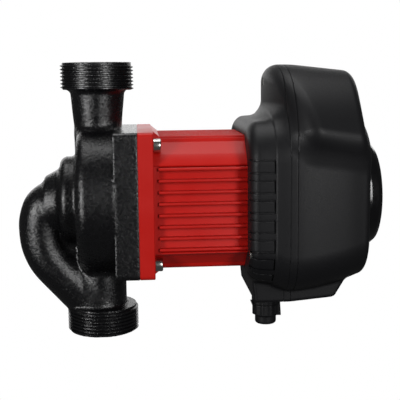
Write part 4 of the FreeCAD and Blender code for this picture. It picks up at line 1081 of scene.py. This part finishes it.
def nut_field(x, y, z):
    """The clamping nut: a fluted skirt with two latch wings, then a plain rounded end."""
    out = np.hypot(x - GLAND_X, y)
    ribs = SKIRT_RIB * np.cos(RIB_COUNT * np.arctan2(y, x - GLAND_X))
    skirt = drum(z, out - ribs, NUT_FLOOR, COLLAR_FLOOR - 0.2, SKIRT_RADIUS, 0.8, 0.3)
    end = drum(z, out, GLAND_END, -80, END_RADIUS, 1.8, 0.3)
    near = polygon(x, z, [(101.6, WING_TOP), (104.6, -82.0), (106.5, -82.0), (106.5, WING_TOP)])
    far = polygon(x, z, [(121.8, WING_TOP), (122.4, -84.2), (118.5, -84.2), (117.5, WING_TOP)])
    wings = trim(np.minimum(near, far), np.abs(y) - 3.2, 0.3)
    beside_collar = np.where(z > COLLAR_FLOOR, out, 99)
    wings = np.maximum(wings, 9.5 - beside_collar)
    nut = blend(np.minimum(skirt, wings), end, 0.8)
    return np.maximum(nut, LEAD_BORE - out)


for label, field, low, high, node in (
        ("gland_collar", collar_field, COLLAR_FLOOR, STEM_TOP, "gland_body"),
        ("gland_cap", nut_field, GLAND_END, WING_TOP, "gland_nut")):
    piece = contour(label, field, (101.4, -10, low), (122.6, 10, high), 0.45, BOX)
    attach(piece, "pump")
    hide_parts(node)


# ---------------------------------------------------------------- camera, light and floor

PUMP_MIDDLE = Vector((0.06, 0, 0.09))
CAMERA_PLACE = (0.0253, -0.5634, 0.1735)
FLOOR_REACH, FLOOR_DROP = 6, 0.0005
WORLD_ON_PUMP, WORLD_SEEN = 0.06, 1.0


def camera_frame(yaw, pitch, roll):
    """The camera's turn from its heading to the right, its tilt down and its lean, in degrees."""
    yaw, pitch, roll = (math.radians(a) for a in (yaw, pitch, roll))
    ahead = Vector((math.sin(yaw), math.cos(yaw), 0))
    right = Vector((math.cos(yaw), -math.sin(yaw), 0))
    up = Vector((0, 0, 1))
    tilt, level = math.sin(pitch), math.cos(pitch)
    ahead, up = ahead * level - up * tilt, up * level + ahead * tilt
    lean, plumb = math.sin(roll), math.cos(roll)
    right, up = right * plumb - up * lean, up * plumb + right * lean
    return Matrix((right, up, -ahead)).transposed()


def softbox(name, place, width, height, power):
    """A rectangular lamp that points at the middle of the pump and is not seen itself."""
    light = bpy.data.lights.new(name, "AREA")
    light.shape = "RECTANGLE"
    light.size, light.size_y, light.energy = width, height, power
    lamp = bpy.data.objects.new(name, light)
    lamp.location = place
    lamp.visible_camera = False
    lamp.rotation_euler = (PUMP_MIDDLE - Vector(place)).to_track_quat("-Z", "Y").to_euler()
    bpy.context.scene.collection.objects.link(lamp)


camera = bpy.data.cameras.new("camera")
camera.lens = 75.85
camera.sensor_width = 36
camera.clip_start, camera.clip_end = 0.01, 50
eye = bpy.data.objects.new("camera", camera)
turn = camera_frame(yaw=4.25, pitch=8.68, roll=0.61)
eye.matrix_world = Matrix.Translation(CAMERA_PLACE) @ turn.to_4x4()
bpy.context.scene.collection.objects.link(eye)
bpy.context.scene.camera = eye

softbox("key_left", (-0.75, -0.72, 0.16), width=0.20, height=0.75, power=9.5)
softbox("fill_right", (0.55, -0.95, 0.30), width=0.22, height=0.7, power=7)
softbox("overhead", (0.05, 0.15, 1.0), width=0.9, height=0.6, power=5.5)
softbox("backdrop", (0.10, 1.25, 0.42), width=1.9, height=0.5, power=5)

floor_mesh = bpy.data.meshes.new("floor")
floor_corners = [(side * FLOOR_REACH, end * FLOOR_REACH, 0)
                 for side, end in ((-1, -1), (1, -1), (1, 1), (-1, 1))]
floor_mesh.from_pydata(floor_corners, [], [(0, 1, 2, 3)])
floor = bpy.data.objects.new("floor", floor_mesh)
floor.location.z = -FLOOR_DROP
bpy.context.scene.collection.objects.link(floor)
pale = bpy.data.materials.new("pale_floor")
pale.use_nodes = True
pale.node_tree.nodes.clear()
glow = add(pale.node_tree, "ShaderNodeEmission", {"Color": (1, 1, 1, 1), "Strength": 1.0})
add(pale.node_tree, "ShaderNodeOutputMaterial", {"Surface": glow.outputs[0]})
floor_mesh.materials.append(pale)
floor.visible_glossy = False
floor.visible_diffuse = False

bpy.context.scene.view_settings.view_transform = "Standard"
world = bpy.data.worlds.new("studio")
bpy.context.scene.world = world
world.use_nodes = True
world.node_tree.nodes.clear()
path = add(world.node_tree, "ShaderNodeLightPath")
level = add(world.node_tree, "ShaderNodeMapRange", {
    "Value": path.outputs["Is Camera Ray"], "To Min": WORLD_ON_PUMP, "To Max": WORLD_SEEN})
sky = add(world.node_tree, "ShaderNodeBackground", {
    "Color": (1, 1, 1, 1), "Strength": level.outputs[0]})
add(world.node_tree, "ShaderNodeOutputWorld", {"Surface": sky.outputs[0]})
